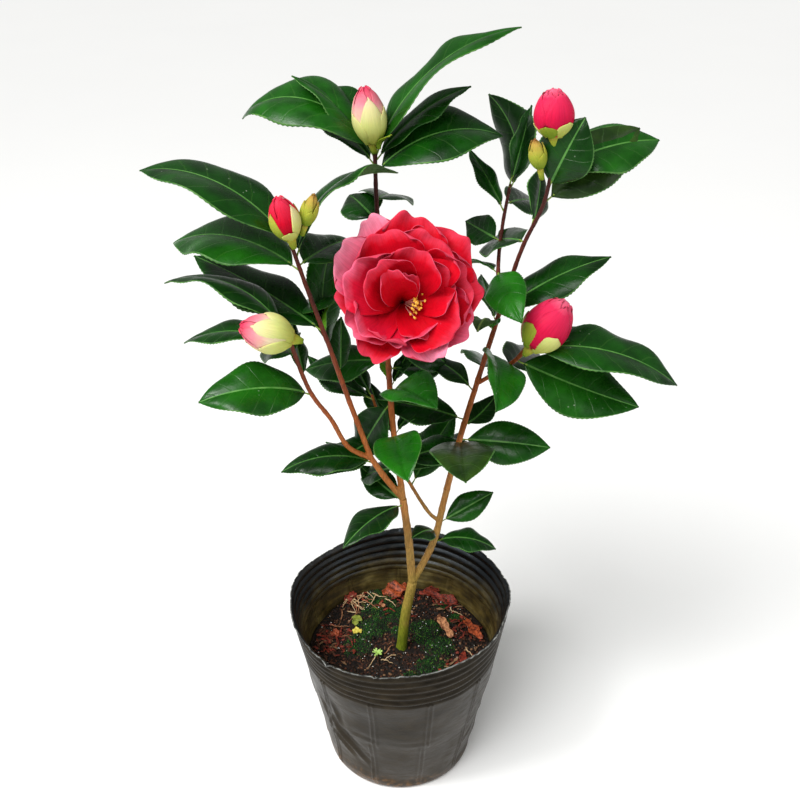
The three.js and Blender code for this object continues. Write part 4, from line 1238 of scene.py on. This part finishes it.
# larger fallen pieces: x, y, length, width, compass, steepness, kind
fallen = [[-4, 61, 21, 13, 15, 0.35, 5], [36, 53, 22, 8, 335, 0.1, 3], [35, 20, 26, 6.5, 292, 0.0, 6],
          [56, 20, 30, 7, 297, 0.2, 5], [-50, 14, 7, 6, 20, 0.3, 5], [-34, 27, 10, 7, 70, 0.2, 7],
          [-33, 15, 8, 5, 340, 0.4, 8], [-14, 42, 6, 3, 320, 0.1, 6], [24, 60, 18, 7, 200, 0.2, 3],
          [-40, 54, 12, 7, 50, 0.3, 3], [12, -50, 14, 5, 10, 0.0, 1], [47, -12, 15, 5, 80, 0.1, 3]]
for x, y, length, width, compass, steep, kind in fallen:
    way = [math.cos(math.radians(compass)), math.sin(math.radians(compass)), steep * 0.4]
    addFlake(litter, surfacePoint(x, y, 2.2), way, length, width, chance, kind, 0.22, [0, -0.5, 1.0], 12)
settle(stackPiece("bark_litter", litter, [mottledSkin(*row) for row in (
    ("compost_crumb", "#1a110b", "#33200f", 0.85, 2), ("bark_crumb", "#3a2114", "#5b3420", 0.8, 2),
    ("pale_crumb", "#6d4b33", "#8a6a4c", 0.8, 2), ("red_bark_chip", "#2c0a08", "#9a3a26", 0.6, 2),
    ("white_grit", "#c9c9c4", "#efefe9", 0.6, 1), ("rusty_dead_leaf", "#3c0f06", "#c05a30", 0.55, 2.2),
    ("tan_dead_leaf", "#5c2c16", "#d89a6c", 0.6, 2.4), ("olive_leaf_bit", "#55601c", "#8f983a", 0.6, 2),
    ("yellow_leaf_bit", "#a8942a", "#d8ca5c", 0.6, 1.6))]))

# Pale rootlets and dry stalks lying on the moss, and one small weed with its roots
strands = newStack()
rootPoints = 14
# Where the rootlets start: x, y, compass and length. The rest are scattered near the back left
rootStarts = [[-40, 66, 262, 34], [-38, 64, 240, 22], [-41, 55, 300, 20], [-30, 50, 330, 18], [-34, 60, 200, 16],
              [-22, 58, 300, 14], [-46, 40, 280, 16], [-12, 50, 315, 12], [-18, -10, 255, 14], [-12, -9, 15, 12],
              [-14, -14, 320, 10], [40, 44, 300, 20], [-54, 24, 290, 16], [50, 0, 280, 15],
              [-3, -10, 200, 10], [30, 58, 330, 16]]
for k in range(mix["roots"]):
    x, y, compass, length = rootStarts[k] if k < len(rootStarts) else (
        chance.gauss(-38, 9), chance.gauss(50, 12), chance.uniform(200, 330), chance.uniform(8, 18))
    line, turn = [], math.radians(compass)
    for step in range(rootPoints):
        if math.hypot(x, y) > mixEdge - 2:
            x, y = x * (mixEdge - 2) / math.hypot(x, y), y * (mixEdge - 2) / math.hypot(x, y)
        lift = 1.3 + 1.6 * math.sin(step / (rootPoints - 1) * math.pi)
        line.append(surfacePoint(x, y, lift))
        turn += chance.gauss(0, 0.16)
        x += math.cos(turn) * length / (rootPoints - 1)
        y += math.sin(turn) * length / (rootPoints - 1)
    addTube(strands, line, np.linspace(0.5, 0.2, rootPoints) * mm, 6, 0 if k % 3 else 1)
weed = [-17, -11]
crown = surfacePoint(*weed, 3.5)
stem = [surfacePoint(*weed, -0.5), surfacePoint(*weed, 1.5), crown]
addTube(strands, stem, [0.35 * mm, 0.3 * mm, 0.3 * mm], 6, 2)
for k in range(9):
    turn = k * 2.4
    way = np.array([math.cos(turn), math.sin(turn), chance.uniform(0.1, 0.7)])
    addFlake(strands, crown + unit(way) * 2.2 * mm, way, 4.6, 1.7, chance, 2, 0.2, [0, 0, 1], 5)
settle(stackPiece("rootlets_and_weed", strands, [mottledSkin(*row) for row in (
    ("pale_rootlet", "#b58e62", "#dcc49c", 0.6, 2), ("brown_rootlet", "#8a5a3c", "#b07c58", 0.65, 2),
    ("weed_green", "#8fb44a", "#b7d57a", 0.5, 2))]))


# Floor, light and camera
studio = {"floor": 60.0, "sun": 2.35, "sunSpread": 36, "key": 9.0, "fill": 2.5, "world": 0.36}
print("studio")
clearSelection()
bpy.ops.mesh.primitive_plane_add(size=studio["floor"], location=(0, 0, 0))
floor = bpy.context.object
floor.name = "pale_floor"
paper, shader, place = startMaterial("matt_paper_sweep", 0.9, 0.1)
tone = colourRamp(paper, grain(paper, place, 400, 2), [(0.0, "#fafaf9"), (1.0, "#fdfdfc")])
floor.data.materials.append(dress(paper, shader, tone))


def addLamp(name, kind, place, size, power, aim):
    data = bpy.data.lights.new(name, kind)
    data.energy = power
    if kind == "SUN":
        data.angle = math.radians(size)
    else:
        data.shape = "DISK"
        data.size = size
    lamp = bpy.data.objects.new(name, data)
    lamp.location = place
    lamp.rotation_euler = (Vector(aim) - Vector(place)).to_track_quat("-Z", "Y").to_euler()
    bpy.context.scene.collection.objects.link(lamp)


addLamp("window_sun", "SUN", (-0.8, -1.1, 2.2), studio["sunSpread"], studio["sun"], (0, 0, 0.25))
addLamp("key_softbox", "AREA", (-0.75, -0.35, 1.2), 0.4, studio["key"], (0, 0, 0.3))
addLamp("fill_softbox", "AREA", (1.0, -0.5, 0.8), 0.8, studio["fill"], (0, 0, 0.3))
world = bpy.data.worlds.new("soft_room")
world.use_nodes = True
world.node_tree.nodes["Background"].inputs["Color"].default_value = linear("#f6f6f4")
world.node_tree.nodes["Background"].inputs["Strength"].default_value = studio["world"]
bpy.context.scene.world = world
bpy.context.scene.view_settings.view_transform = "Standard"

camera = bpy.data.cameras.new("camera")
camera.lens = 45
camera.sensor_width = 36
cameraPiece = bpy.data.objects.new("camera", camera)
cameraPiece.location = (0, -0.554, 0.644)
cameraPiece.rotation_euler = (math.radians(59), 0, 0)
bpy.context.scene.collection.objects.link(cameraPiece)
bpy.context.scene.camera = cameraPiece

bpy.context.view_layer.update()
print("scene ready")
